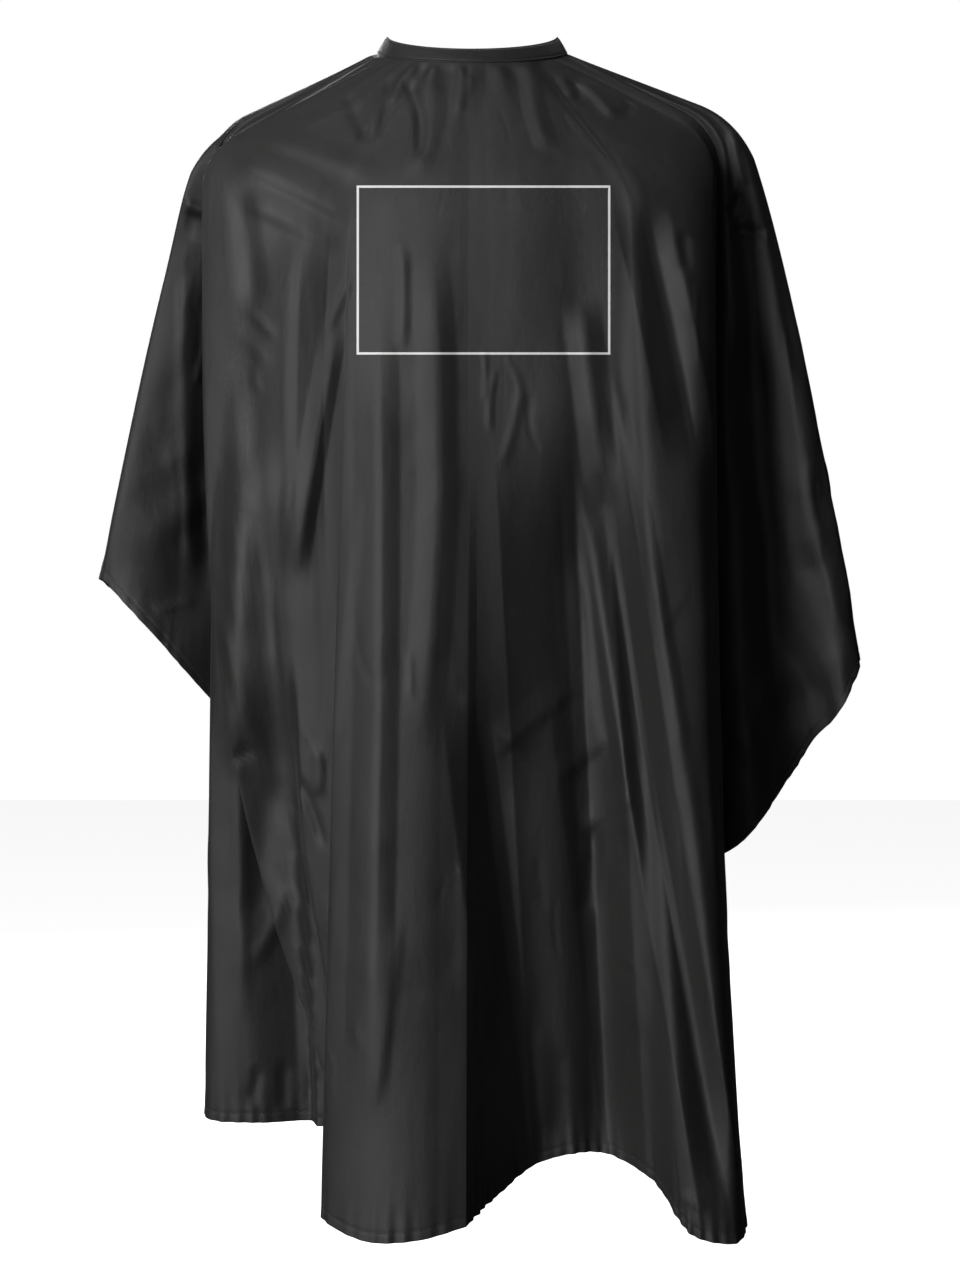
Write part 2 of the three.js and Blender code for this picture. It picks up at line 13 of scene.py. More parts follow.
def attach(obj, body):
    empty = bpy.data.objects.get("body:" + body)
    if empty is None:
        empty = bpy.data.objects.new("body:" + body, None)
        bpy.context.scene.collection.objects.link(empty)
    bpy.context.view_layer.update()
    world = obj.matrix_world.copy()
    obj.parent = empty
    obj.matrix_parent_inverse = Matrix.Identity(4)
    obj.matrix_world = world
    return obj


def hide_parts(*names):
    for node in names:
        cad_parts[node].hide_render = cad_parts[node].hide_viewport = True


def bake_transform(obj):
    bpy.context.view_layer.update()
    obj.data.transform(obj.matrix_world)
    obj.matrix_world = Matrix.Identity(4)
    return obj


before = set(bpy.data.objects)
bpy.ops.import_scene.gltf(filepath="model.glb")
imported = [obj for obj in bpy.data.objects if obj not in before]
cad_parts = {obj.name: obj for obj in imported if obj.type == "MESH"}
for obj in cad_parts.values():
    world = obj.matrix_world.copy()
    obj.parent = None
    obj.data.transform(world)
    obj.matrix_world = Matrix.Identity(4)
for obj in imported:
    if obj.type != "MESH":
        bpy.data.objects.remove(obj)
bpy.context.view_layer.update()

MM = 0.001
HALVES = {"left": -1, "right": 1}

# ---- camera, light and floor

VIEW_DISTANCE = 2200 * MM
VIEW_CENTRE = Vector((7, 0, -532)) * MM
VIEW_HEIGHT = 1152 * MM  # what the picture's longer side holds at the centre
EYE = VIEW_CENTRE + Vector((0, -VIEW_DISTANCE, 0))
SENSOR = 36
FLOOR_DEPTH = 1200 * MM
FLOOR_SIZE = 8  # metres from its centre to each side
FLOOR_LOOK = {
    "Base Color": (0.85, 0.85, 0.85, 1),
    "Roughness": 0.9,
    "Emission Color": (1, 1, 1, 1),
    "Emission Strength": 0.9,
}
AMBIENT = (0.92, 0.95, 1, 1), 0.012
SEEN_BEHIND = (1, 1, 1, 1), 1


def new_in_scene(name, data):
    obj = bpy.data.objects.new(name, data)
    bpy.context.scene.collection.objects.link(obj)
    return obj


def add_camera():
    data = bpy.data.cameras.new("camera")
    data.sensor_width = SENSOR
    data.lens = SENSOR * VIEW_DISTANCE / VIEW_HEIGHT
    data.clip_end = 50
    camera = new_in_scene("camera", data)
    camera.location = EYE
    camera.rotation_euler = (math.pi / 2, 0, 0)
    bpy.context.scene.camera = camera


def add_area_light(name, place, target, size, power):
    data = bpy.data.lights.new(name, "AREA")
    data.shape = "RECTANGLE"
    data.size, data.size_y = size
    data.energy = power
    light = new_in_scene(name, data)
    light.location = place
    aim = Vector(target) - Vector(place)
    light.rotation_euler = aim.to_track_quat("-Z", "Y").to_euler()


def add_world():
    """White behind the object, and a weak grey light all round it."""
    world = bpy.data.worlds.new("studio")
    bpy.context.scene.world = world
    world.use_nodes = True
    nodes, links = world.node_tree.nodes, world.node_tree.links
    nodes.clear()
    path = nodes.new("ShaderNodeLightPath")
    mix = nodes.new("ShaderNodeMixShader")
    out = nodes.new("ShaderNodeOutputWorld")
    links.new(path.outputs["Is Camera Ray"], mix.inputs["Fac"])
    for k, (colour, strength) in enumerate((AMBIENT, SEEN_BEHIND)):
        light = nodes.new("ShaderNodeBackground")
        light.inputs["Color"].default_value = colour
        light.inputs["Strength"].default_value = strength
        links.new(light.outputs[0], mix.inputs[k + 1])
    links.new(mix.outputs[0], out.inputs["Surface"])


def add_floor():
    """A pale floor. It glows a little so that it reads as white, and lights nothing else."""
    size, z = FLOOR_SIZE, -FLOOR_DEPTH
    mesh = bpy.data.meshes.new("floor")
    corners = [(-size, -size, z), (size, -size, z), (size, size, z), (-size, size, z)]
    mesh.from_pydata(corners, [], [(0, 1, 2, 3)])
    material = bpy.data.materials.new("floor")
    material.use_nodes = True
    shader = material.node_tree.nodes["Principled BSDF"]
    for key, value in FLOOR_LOOK.items():
        shader.inputs[key].default_value = value
    mesh.materials.append(material)
    floor = new_in_scene("floor", mesh)
    floor.visible_diffuse = False
    floor.visible_glossy = False


add_camera()
add_world()
add_floor()
add_area_light("key", (-2.5, -3.4, 0.9), (0, 0, -0.5), (1.3, 2.8), 178)
add_area_light("fill", (-0.3, -3.0, 0.2), (0, 0, -0.5), (1.2, 2.0), 7)
add_area_light("back", (-0.9, 2.6, 0.7), (0, 0, -0.4), (1.5, 1.5), 60)
add_area_light("top", (-0.9, 0.1, 1.9), (0, 0, -0.1), (1.0, 1.0), 3)
bpy.context.scene.view_settings.view_transform = "Standard"

# ---- numbers on curves


def smooth(t):
    t = np.clip(t, 0, 1)
    return t * t * (3 - 2 * t)


def unit(vectors):
    return vectors / np.maximum(np.linalg.norm(vectors, axis=-1, keepdims=True), 1e-9)


def distances(path):
    """How far along a path each of its points lies."""
    return np.concatenate([[0], np.cumsum(np.linalg.norm(np.diff(path, axis=0), axis=1))])


def through(places, values, at):
    """A smooth curve through values at uneven places: cubic Hermite pieces."""
    places, values, at = (np.asarray(a, float) for a in (places, values, at))
    gaps = np.diff(places)
    slopes = np.diff(values, axis=0) / gaps[:, None]
    tangents = np.empty_like(values)
    tangents[0], tangents[-1] = slopes[0], slopes[-1]
    tangents[1:-1] = slopes[:-1] * gaps[1:, None] + slopes[1:] * gaps[:-1, None]
    tangents[1:-1] /= (gaps[1:] + gaps[:-1])[:, None]
    i = np.clip(np.searchsorted(places, at, side="right") - 1, 0, len(gaps) - 1)
    t = ((at - places[i]) / gaps[i])[:, None]
    w = gaps[i][:, None]
    return (
        (2 * t**3 - 3 * t**2 + 1) * values[i]
        + (t**3 - 2 * t**2 + t) * w * tangents[i]
        + (3 * t**2 - 2 * t**3) * values[i + 1]
        + (t**3 - t**2) * w * tangents[i + 1]
    )


# ---- the neckband's line

BAND_TOP = (76, 58)  # half axes of the upper edge
BAND_FOOT = (85, 68)  # and of the lower edge
BAND_TOP_Z = 12  # height of the upper edge beside and behind the neck
BAND_DROP = 15
FRONT_DIP = 26  # how much lower the band lies at the centre front
DIP_START = 0.1  # how softly the dip starts beside the neck
BAND_HEIGHT = math.hypot(BAND_FOOT[1] - BAND_TOP[1], BAND_DROP)
BAND_THICKNESS = 2.1
LAP_SPACE = 3.4  # between the underlap and the overlap, for the studs
FOLD_ANGLE = 132  # degrees round the neck to the line where each back flap turns
LAP_ANGLE = 176  # and to where the right end is fully clear of the left


def band_point(side, angle, down):
    """A point on the band's middle surface in millimetres: angle from the centre front,
    down from 0 at the upper edge to 1 at the lower edge."""
    turn = np.radians(angle)
    a = BAND_TOP[0] + (BAND_FOOT[0] - BAND_TOP[0]) * down
    b = BAND_TOP[1] + (BAND_FOOT[1] - BAND_TOP[1]) * down
    forward = np.cos(turn)
    dip = -FRONT_DIP * (forward + np.hypot(forward, DIP_START)) / 2
    return np.stack(
        [side * a * np.sin(turn), -b * forward, BAND_TOP_Z + dip - BAND_DROP * down], -1
    )


def band_normal(side, angle):
    along = band_point(side, angle + 0.5, 0.5) - band_point(side, angle - 0.5, 0.5)
    down = band_point(side, angle, 1.0) - band_point(side, angle, 0.0)
    return unit(side * np.cross(down, along))


def lap_offset(side, angle):
    """How far the band stands off its own line, where the right end laps over the left."""
    if side < 0:
        return np.zeros_like(angle)
    share = smooth((angle - FOLD_ANGLE) / (LAP_ANGLE - FOLD_ANGLE))
    return share * (BAND_THICKNESS + LAP_SPACE)


# ---- how the sheet hangs


class Fold(NamedTuple):
    """A line from the neckband over the body to "rest" and down to the hem. Millimetres,
    x outwards from the centre. The lists below give these values in this order."""

    angle: float  # degrees round the neck
    rest: tuple
    hem: tuple
    swing: float = 1  # how late it swings sideways on its way down, 1 for a straight line
    reach: float = 1  # and how late it swings forwards


LEFT_FOLDS = [
    (0, (3, -118, -150), (4.5, -184, -1016), 1, 2),
    (11, (30, -120, -152), (42, -197, -1024), 1, 1.6),
    (20, (64, -118, -152), (84, -196, -1026), 1, 1.5),
    (27, (98, -112, -149), (126, -160, -1012), 0.6, 1.8),
    (31, (128, -106, -145), (42, -132, -994), 3.2),
    (35, (144, -102, -141), (74, -124, -985), 3.2),
    (41, (166, -94, -134), (88, -114, -975), 3),
    (49, (196, -82, -123), (98, -106, -968), 1.9),
    (57, (221, -66, -112), (104, -98, -962), 2.8),
    (59, (221, -56, -108), (46, -84, -958), 2.6),
    (61, (221, -52, -106), (137, -74, -955), 1.6),
    (64, (222, -50, -104), (193, -74, -954), 1.3),
    (66, (224, -46, -102), (235, -50, -951)),
    (69, (226, -38, -98), (216, -2, -938)),
    (72, (224, -28, -94), (138, 30, -924)),
    (75, (226, -16, -90), (140, 92, -890)),
    (78, (230, -14, -88), (226, 92, -846)),
    (81, (230, -10, -84), (226, 14, -788)),
    (83, (228, -6, -82), (148, 26, -724)),
    (85, (230, -5, -80), (168, 96, -664)),
    (87, (234, -6, -78), (232, 40, -594)),
    (89, (234, -6, -77), (283, 4, -532), 0.85),
    (92, (238, 4, -75), (337, 18, -476), 0.74),
    (96, (235, 18, -75), (318, 62, -498), 0.82),
    (101, (228, 32, -78), (250, 62, -542)),
    (108, (206, 46, -84), (232, 118, -600)),
    (114, (176, 56, -88), (172, 92, -560)),
    (121, (140, 66, -92), (172, 144, -470)),
    (127, (108, 72, -96), (128, 116, -370)),
    (132, (76.8, 67, -102), (104, 110, -300)),
    (146, (54, 84, -101), (84, 138, -296)),
    (162, (28, 84, -99), (48, 114, -292)),
    (179.3, (3, 91, -98), (14, 130, -288)),
]
RIGHT_FOLDS = [
    (0, (-3, -118, -150), (-4.5, -184, -1016), 1, 2),
    (5, (12, -118, -150), (24, -134, -1000), 1, 2),
    (10, (30, -118, -149), (58, -108, -984), 1.3, 2),
    (17, (54, -116, -148), (88, -106, -977), 1, 2),
    (25, (86, -112, -146), (119, -90, -980)),
    (34, (120, -108, -142), (148, -104, -990)),
    (43, (152, -102, -134), (191, -152, -1034), 1.15),
    (50, (184, -90, -120), (219, -146, -1040), 1.4),
    (57, (209, -70, -100), (236, -106, -1034), 3),
    (63, (210, -48, -90), (212, -40, -1016), 2),
    (68, (210, -32, -84), (140, -2, -996)),
    (72, (213, -20, -80), (138, 72, -962)),
    (75, (218, -12, -78), (206, 96, -916)),
    (78, (220, -8, -76), (214, 26, -860)),
    (80, (219, -6, -74), (148, 24, -806)),
    (82, (220, -5, -72), (168, 84, -764)),
    (85, (225, -8, -70), (247, 22, -714)),
    (88, (230, -6, -67), (312, 38, -624), 0.9),
    (91, (236, -4, -64), (338, 12, -588), 0.8),
    (94, (238, 6, -62), (354, 30, -550), 0.74),
    (98, (234, 20, -66), (334, 84, -590), 0.85),
    (103, (222, 34, -74), (262, 80, -640)),
    (109, (202, 46, -80), (238, 128, -650)),
    (115, (172, 56, -86), (174, 96, -570)),
    (121, (138, 66, -92), (168, 144, -470)),
    (127, (108, 72, -96), (128, 116, -370)),
    (132, (76.8, 67, -102), (104, 110, -300)),
    (146, (54, 87, -101), (84, 138, -296)),
    (162, (28, 89, -99), (48, 120, -292)),
    (179.3, (3, 96, -98), (14, 134, -288)),
]

FOLDS = {-1: LEFT_FOLDS, 1: RIGHT_FOLDS}
FRONT_FOLDS = {-1: 12, 1: 8}  # the fold at the front panel's outer edge
SLEEVE_FOLDS = {-1: (19, 23), 1: (16, 20)}  # the folds round the front of each sleeve
BEND_RADIUS = 36  # how far each side of the shoulder line the cloth bends over it
BEND_SHARE = 0.45  # and no farther than this share of the way back to the neckband
NECK_GAP = 0.5

# ---- creases and wrinkles


class Wrinkle(NamedTuple):
    """A long bump in the cloth, or a valley, seen from the front. Millimetres.
    The lists below give these values in this order, and may leave out the last few."""

    top: tuple  # x and z of its upper end
    foot: tuple  # x and z of its lower end
    width: float  # from its crest to where it has faded
    height: float  # negative for a valley
    bow: float = 0  # how far the middle lies right of the straight line
    sharp: float = 0.3  # 0 for a round crest, 1 for two flat flanks that meet in a crease
    lean: float = 0  # above 0 the right side is the steeper


FRONT_WRINKLES = [
    # the broad folds and valleys of the left front
    ((-80, -205), (-86, -960), 20, 7, 4, 0.7, 0.1),
    ((-38, -180), (-46, -640), 18, 4.5, 15, 0.5, 0.1),
    ((-60, -192), (-60, -290), 7, 2, 2, 0.8),
    ((-147, -165), (-150, -480), 34, 11, -5, 1, 0.2),
    ((-114, -255), (-152, -490), 12, 4.5, 0, 1, 0.2),
    ((-104, -222), (-124, -270), 6, 2, 0, 1),
    ((-199, -290), (-204, -570), 14, 4, 0, 0.8),
    ((-184, -345), (-196, -660), 30, 10, -6, 1, 0.15),
    ((-158, -385), (-144, -720), 24, 5.5, 0, 0.8),
    ((-220, -500), (-172, -680), 8, 2.5, 0, 1, 0.3),
    ((-97, -390), (-128, -660), 9, 1.5, 3, 1),
    # small crumples where the cloth bends over the left arm
    ((-197, -246), (-168, -274), 5, 2, 2, 1),
    ((-184, -296), (-181, -320), 4, 1.5, -4, 1),
    ((-200, -266), (-174, -296), 7, 1.5, 0, 0.6),
    # drag lines from the left shoulder
    ((-205, -84), (-70, -148), 13, 1.4, 5, 0.8, -0.3),
    ((-215, -112), (-98, -176), 16, 3.2, 3, 0.9, -0.4),
    ((-200, -152), (-112, -202), 14, 2.8, 2, 0.9, -0.4),
    ((-203, -130), (-186, -250), 14, -3.5, 0, 0.9),
    # gathers under the left front of the neckband
    ((-70, -34), (-86, -104), 7, -2.5, 3, 0.7),
    ((-60, -38), (-46, -122), 7, -3, 8, 0.7),
    ((-34, -36), (-52, -140), 12, 2, 8, 0.7),
    ((-112, -48), (-88, -104), 8, -2, 0, 0.7),
    ((-64, -50), (-86, -104), 7, 2, -3, 0.5),
    # the left front below the arm
    ((-158, -540), (-135, -1110), 43, -25, 0, 1, 0.85),
    ((-212, -540), (-202, -880), 9, 3, 3),
    ((-211, -638), (-189, -624), 6, -3, 0, 0.8),
    ((-174, -644), (-192, -790), 16, -5),
    ((-158, -740), (-194, -820), 8, 2.5, 3, 0.5),
    ((-150, -645), (-125, -712), 6, -3, 2, 0.9),
    ((-132, -622), (-130, -666), 7, 3, 0, 0.5),
    ((-60, -750), (-84, -930), 11, 1.8, 3, 0.6, 0.3),
    ((-52, -540), (-51, -582), 4, 1, 0, 0.5),
    ((-186, -905), (-194, -940), 6, -2),
    ((-165, -900), (-166, -946), 7, -2.5),
    ((-136, -905), (-142, -940), 6, -2),
    # the pressed crease down the centre
    ((-3, -380), (-5, -1080), 15, 2.4, 0, 1, 0.5),
    ((3, -555), (70, -1110), 46, -17, 0, 1, -0.3),
    ((-12, -722), (1, -736), 3, 1.5, 0, 1),
    # gathers under the right front of the neckband
    ((1, -36), (-14, -78), 7, 1.2, 0, 0.6),
    ((50, -34), (68, -114), 11, 2.2, -4, 0.8),
    ((76, -30), (94, -70), 7, 1.5, 0, 0.7),
    ((84, -42), (87, -66), 6, -2.5, 8, 0.5),
    ((95, -36), (127, -78), 8, 3, 0, 0.5),
    ((132, -50), (130, -78), 5, -2, 7, 0.6),
    # a shallow pocket below the right shoulder
    ((145, -150), (195, -390), 24, -10, 3, 1, 0.15),
    ((182, -178), (186, -216), 7, -2.5),
    # the long valley on the right, with the ridge beside it
    ((80, -330), (122, -1090), 48, -28, 0, 0.8, 0.3),
    ((106, -330), (222, -1060), 20, -20, -3, 0.85, 0.1),
    ((92, -235), (114, -420), 17, 6, 0, 0.9),
    ((100, -400), (152, -770), 11, 4, -2, 1),
    ((90, -455), (110, -640), 16, 4, -2, 1, 0.4),
    ((112, -270), (186, -680), 9, 2.5, 5, 0.8),
    ((179, -615), (211, -920), 9, 3, 3, 0.4),
    # drag wrinkles at the right knee
    ((-14, -576), (50, -634), 14, 2, 0, 0.9, -0.5),
    ((94, -570), (16, -632), 14, 2, 0, 0.9, 0.5),
    ((124, -614), (74, -652), 11, 1.8, 0, 0.9, 0.5),
    ((88, -640), (102, -720), 14, -2.4, -4, 0.7),
    ((142, -664), (96, -698), 10, 2, 0, 0.9, 0.5),
    ((107, -690), (99, -775), 10, -3, 0, 0.7),
    ((76, -880), (76, -975), 10, -1.4, 0, 0.4),
    ((60, -860), (61, -962), 10, 1.4, 0, 0.4),
    ((173, -1000), (200, -1006), 5, 2, 0, 1),
    # small marks on the chest
    ((10, -283), (10, -332), 4, 1.2, 2, 0.7),
    ((21, -298), (16, -358), 5, 1.5, -3, 0.8),
    ((41, -312), (22, -388), 6, 1.2, 4, 0.6),
]

SLEEVE_WRINKLES = [
    # left
    ((-262, -138), (-230, -149), 8, 5, 0, 1),
    ((-226, -50), (-232, -176), 26, -14, 0, 1, 0.2),
    ((-244, -110), (-262, -560), 70, -25, 0, 0.7),
    ((-245, -228), (-256, -306), 5, 2.5, 6, 1),
    ((-240, -165), (-243, -525), 14, -9),
    ((-261, -154), (-254, -495), 8, 3, -4, 0.6),
    ((-290, -506), (-251, -495), 6, 2.5, 0, 1),
    # right
    ((232, -72), (244, -132), 7, 3, 0, 0.7),
    ((243, -130), (230, -152), 6, -3, 0, 0.8),
    ((232, -163), (267, -166), 8, -4, 0, 0.8),
    ((266, -205), (300, -570), 9, 4, 0, 0.5),
    ((279, -226), (300, -426), 4, 1.2, 0, 0.5),
    ((246, -226), (272, -590), 20, -14, 0, 0.1),
]


PINCH = 1.15  # how steep a pinched flank is; above 1 its crest is a little blunt
END_SHARE = 0.22  # of a wrinkle's length, over which it rises at each end


def relief(wrinkles, across, down):
    """How far a list of wrinkles lifts the cloth at each place."""
    total = np.zeros_like(across)
    for row in wrinkles:
        w = Wrinkle(*row)
        chord = np.subtract(w.foot, w.top)
        length = np.hypot(*chord)
        x, z = across - w.top[0], down - w.top[1]
        share = (x * chord[0] + z * chord[1]) / length**2
        aside = (z * chord[0] - x * chord[1]) / length - w.bow * 4 * share * (1 - share)
        spread = np.where(aside < 0, 1 + w.lean, 1 - w.lean) * w.width
        rounded = np.exp(-((aside / spread) ** 2))
        pinched = np.clip(PINCH - PINCH * np.abs(aside) / spread, 0, 1)
        ends = smooth(share / END_SHARE) * smooth((1 - share) / END_SHARE)
        total += w.height * ends * (rounded * (1 - w.sharp) + pinched * w.sharp)
    return total


# The small creases all over the cloth: least and most in millimetres.
CREASE_COUNT = 260
CREASE_SIDE = 10  # clear of the centre front and the back slit
CREASE_DOWN = (45, 1150)
CREASE_REACH = (10, 46)  # half its length
CREASE_WIDTH = (2.4, 6)
CREASE_HEIGHT = (0.3, 1.1)
CREASE_SHARP = (0.4, 1)
CREASE_TURN = 0.45  # radians from straight down, one standard deviation
CREASE_BOW = 0.12  # of its reach, one standard deviation


def scattered_wrinkles(rng, width):
    """Small creases all over a cloth of that width, most of them along its folds."""
    result = []
    for _ in range(CREASE_COUNT):
        across = rng.uniform(CREASE_SIDE, width - CREASE_SIDE)
        middle = np.array([across, rng.uniform(-CREASE_DOWN[1], -CREASE_DOWN[0])])
        reach = rng.uniform(*CREASE_REACH)
        turn = rng.normal(0, CREASE_TURN)
        half = reach * np.array([math.sin(turn), math.cos(turn)])
        spread = rng.uniform(*CREASE_WIDTH)
        height = rng.uniform(*CREASE_HEIGHT) * rng.choice([-1, 1])
        bow = rng.normal(0, CREASE_BOW) * reach
        sharp = rng.uniform(*CREASE_SHARP)
        result.append((middle + half, middle - half, spread, height, bow, sharp))
    return result


def waves(rng, across, down, count, shortest, longest, turning=0.35, shape=np.sin):
    """The mean of a few waves whose lengths, directions and starts are drawn by chance.
    turning is how far they stray from straight across, in radians."""
    size = rng.uniform(shortest, longest, count)
    turn = rng.normal(0, turning, count)
    start = rng.uniform(0, 6, count)
    kx, kz = 2 * math.pi * np.cos(turn) / size, 2 * math.pi * np.sin(turn) / size
    return sum(shape(a * across + b * down + c) for a, b, c in zip(kx, kz, start)) / count


def zigzag(turn):
    """A wave with straight flanks, for flat facets between sharp creases."""
    return np.arcsin(np.sin(turn))

# ---- one half of the sheet

ROWS = 226  # down a fold line, above the hem
ROW_EASE = 1.12  # above 1 the rows lie closer together near the neckband
FRONT_STEP = 2.2  # millimetres between columns at the hem of the front panel
SLEEVE_STEP = 5.5
BACK_STEP = 9.0
LEAST_COLUMNS = 3  # from one fold to the next
HEM_ROWS = (14, 12.5, 11, 9.5, 8, 6.5, 5, 3.5, 2, 0.8, 0)  # millimetres above the edge
HEM_STITCH = 8
HEM_INSIDE = 0.9  # from the outer face to the turned ply
TUCK_ROWS = 3  # how many of the hem's rows the turned ply stops short of
NECK_TUCK = 5  # how far the sheet's edge goes up inside the band
NECK_TUCK_OUT = 0.4  # between the interlining and the outer ply

SEED = 11
# Heights of the chance crumples in millimetres, in front and behind.
SOFT_HEIGHT = (1.2, 4.8)
FACET_HEIGHT = (0.7, 3.5)
CREASE_SCALE = (0.6, 1)
WARP = 9  # how far the facets' edges wander
GATHER_HEIGHT = 4.5  # of the gathers under the neckband
GATHER_FALL = 34  # how soon they die away down the cloth
PUCKER_HEIGHT = 2.0  # of the puckers along the hem
PUCKER_FALL = 15
GROOVE_DEPTH = 0.35  # along the hem's stitches
GROOVE_WIDTH = 1.4
EDGE_FADE = 14  # over which each kind of crumple begins or ends
BACK_FADE = 60
NECK_FADE = 10
CENTRE_FADE = 16
BUNCHED = 0.3  # column spacing, as a share of that at the hem, where crumples start
OPENED = 0.9  # and where they stand in full


class Half:
    """One half of the sheet, from the centre front round to the back slit."""

    def __init__(self, side):
        self.side = side
        folds = [Fold(*row) for row in FOLDS[side]]
        table = np.array([[f.angle, *f.rest, *f.hem, f.swing, f.reach] for f in folds], float)
        self.places = distances(table[:, 4:7])
        self.hem_length = self.places[-1]
        self.across = self.column_places(np.diff(self.places))
        read = through(self.places, table, self.across)
        flip = np.array([side, 1, 1])
        self.angle = read[:, 0]
        self.neck_normal = band_normal(side, self.angle)
        self.lap = lap_offset(side, self.angle)
        self.start = band_point(side, self.angle, 1.0) + self.neck_normal * self.lap[:, None]
        self.rest = read[:, 1:4] * flip
        self.hem = read[:, 4:7] * flip
        self.swing, self.reach = read[:, 7], read[:, 8]
        self.run = np.linalg.norm(self.rest - self.start, axis=1)
        self.length = self.run + np.linalg.norm(self.hem - self.rest, axis=1)
        self.along = self.row_distances()
        self.points = self.crumpled(self.smooth_points())

    def column_places(self, gaps):
        """Distances round the hem from the centre front, one for each column of points."""
        steps = np.full(len(gaps), BACK_STEP)
        steps[slice(*SLEEVE_FOLDS[self.side])] = SLEEVE_STEP
        steps[: FRONT_FOLDS[self.side]] = FRONT_STEP
        ends = self.places[1:].copy()
        ends[-1] -= HEM_ROWS[0]
        columns = []
        for start, end, gap, step in zip(self.places, ends, gaps, steps):
            count = max(LEAST_COLUMNS, round(gap / step))
            columns.append(np.linspace(start, end, count, endpoint=False))
        return np.concatenate([*columns, self.hem_length - np.array(HEM_ROWS)])

    def row_distances(self):
        """Distances down the fold lines from the neckband, as rows x columns."""
        t = np.linspace(0, 1, ROWS, endpoint=False)[:, None] ** ROW_EASE
        above = NECK_GAP + t * (self.length - HEM_ROWS[0] - NECK_GAP)
        hem = self.length - np.array(HEM_ROWS)[:, None]
        return np.concatenate([above, hem])

    def smooth_points(self):
        along, fall = self.along, self.length - self.run
        bend = np.minimum(BEND_RADIUS, BEND_SHARE * self.run)

        def over(d):
            share = np.clip(d / self.run, 0, 1)[..., None]
            return self.start + (self.rest - self.start) * share

        def hanging(d):
            t = np.clip(d / fall, 0, 1)
            x, y, z = (self.hem - self.rest).T
            return self.rest + np.stack([x * t**self.swing, y * t**self.reach, z * t], -1)

        w = ((along - self.run + bend) / (2 * bend))[..., None]
        corner = over(self.run - bend) * (1 - w) ** 2
        corner = corner + self.rest * 2 * w * (1 - w) + hanging(bend) * w**2
        return np.where(w <= 0, over(along), np.where(w >= 1, hanging(along - self.run), corner))

    def between(self, first, last):
        """1 on the columns from one fold to another, fading out beside them."""
        start, end = self.places[first], self.places[last]
        after, before = self.across - start, end - self.across
        return smooth(after / EDGE_FADE + 1) * smooth(before / EDGE_FADE + 1)

    def crumpled(self, points):
        """The same points with the wrinkles seen from the front, and the chance crumples."""
        rng = np.random.default_rng(SEED + self.side)
        across = np.broadcast_to(self.across, self.along.shape)
        down, edge = self.along, self.length - self.along
        front_edge = self.places[FRONT_FOLDS[self.side]]
        x, z = points[..., 0], points[..., 2]
        near_neck = smooth(down / NECK_FADE)
        behind = smooth((across - front_edge) / BACK_FADE)

        def height(front, back):
            return front + (back - front) * behind

        seen = relief(FRONT_WRINKLES, x, z) * smooth((front_edge - across) / EDGE_FADE)
        seen += relief(SLEEVE_WRINKLES, x, z) * self.between(*SLEEVE_FOLDS[self.side])

        # Each call gives the waves' number, and the shortest and longest in millimetres.
        soft = waves(rng, across, down, 9, 60, 190) * height(*SOFT_HEIGHT)
        warp = WARP * waves(rng, across, down, 4, 60, 150, 1.5)
        facets = waves(rng, across + warp, down - warp, 6, 34, 110, 0.8, zigzag)
        patches = smooth(waves(rng, across, down, 4, 150, 400, 1.5) * 2 + 0.5)
        facets *= patches * height(*FACET_HEIGHT)
        creases = relief(scattered_wrinkles(rng, self.hem_length), across, -down)
        creases *= height(*CREASE_SCALE)

        round_neck = np.radians(self.angle) * BAND_FOOT[0]
        gathers = GATHER_HEIGHT * waves(rng, round_neck, 0, 5, 11, 26) * np.exp(-down / GATHER_FALL)
        gathers *= smooth(round_neck / EDGE_FADE)
        puckers = PUCKER_HEIGHT * waves(rng, across, 0, 4, 9, 17) * np.exp(-edge / PUCKER_FALL)
        groove = -GROOVE_DEPTH * np.exp(-(((edge - HEM_STITCH) / GROOVE_WIDTH) ** 2))

        spread = np.linalg.norm(np.gradient(points, axis=1), axis=-1) / np.gradient(self.across)
        free = smooth((spread - BUNCHED) / (OPENED - BUNCHED))
        away = smooth(across / CENTRE_FADE) * near_neck
        lift = (soft + facets + creases) * free * away + puckers * away + groove
        lift += gathers * near_neck
        points = points + grid_normals(points, self.side) * lift[..., None]
        points[..., 1] -= seen * near_neck
        return points

    def tucked_rows(self):
        """Two rows of the sheet's top edge, which goes up inside the neckband."""
        rows = []
        for up in (NECK_TUCK, 1):
            inside = band_point(self.side, self.angle, 1 - up / BAND_HEIGHT)
            rows.append(inside + self.neck_normal * (self.lap + NECK_TUCK_OUT)[:, None])
        return np.array(rows)

    def sheet_grid(self):
        """The whole cut of cloth with its hems turned in, and its place on the flat cloth."""
        normal = grid_normals(self.points, self.side)
        down, down_in = turned_edge(len(self.along))
        round_, round_in = turned_edge(len(self.across))
        inwards = down_in[:, None] + round_in[None]
        pick = np.ix_(down, round_)
        body = self.points[pick] - normal[pick] * inwards[..., None]
        points = np.concatenate([self.tucked_rows()[:, round_], body])
        turned = np.arange(len(down))[:, None] >= len(self.along)
        laid_down = self.along[pick]
        laid_down = np.where(turned, 2 * self.length[round_] - laid_down, laid_down)
        tucked = np.array([-NECK_TUCK, -1.0])[:, None] * np.ones(len(round_))
        laid_down = -np.concatenate([tucked, laid_down])
        turned = np.arange(len(round_)) >= len(self.across)
        laid_across = self.across[round_]
        laid_across = np.where(turned, 2 * self.hem_length - laid_across, laid_across)
        uv = np.stack([np.broadcast_to(laid_across, laid_down.shape), laid_down], -1)
        return points, uv


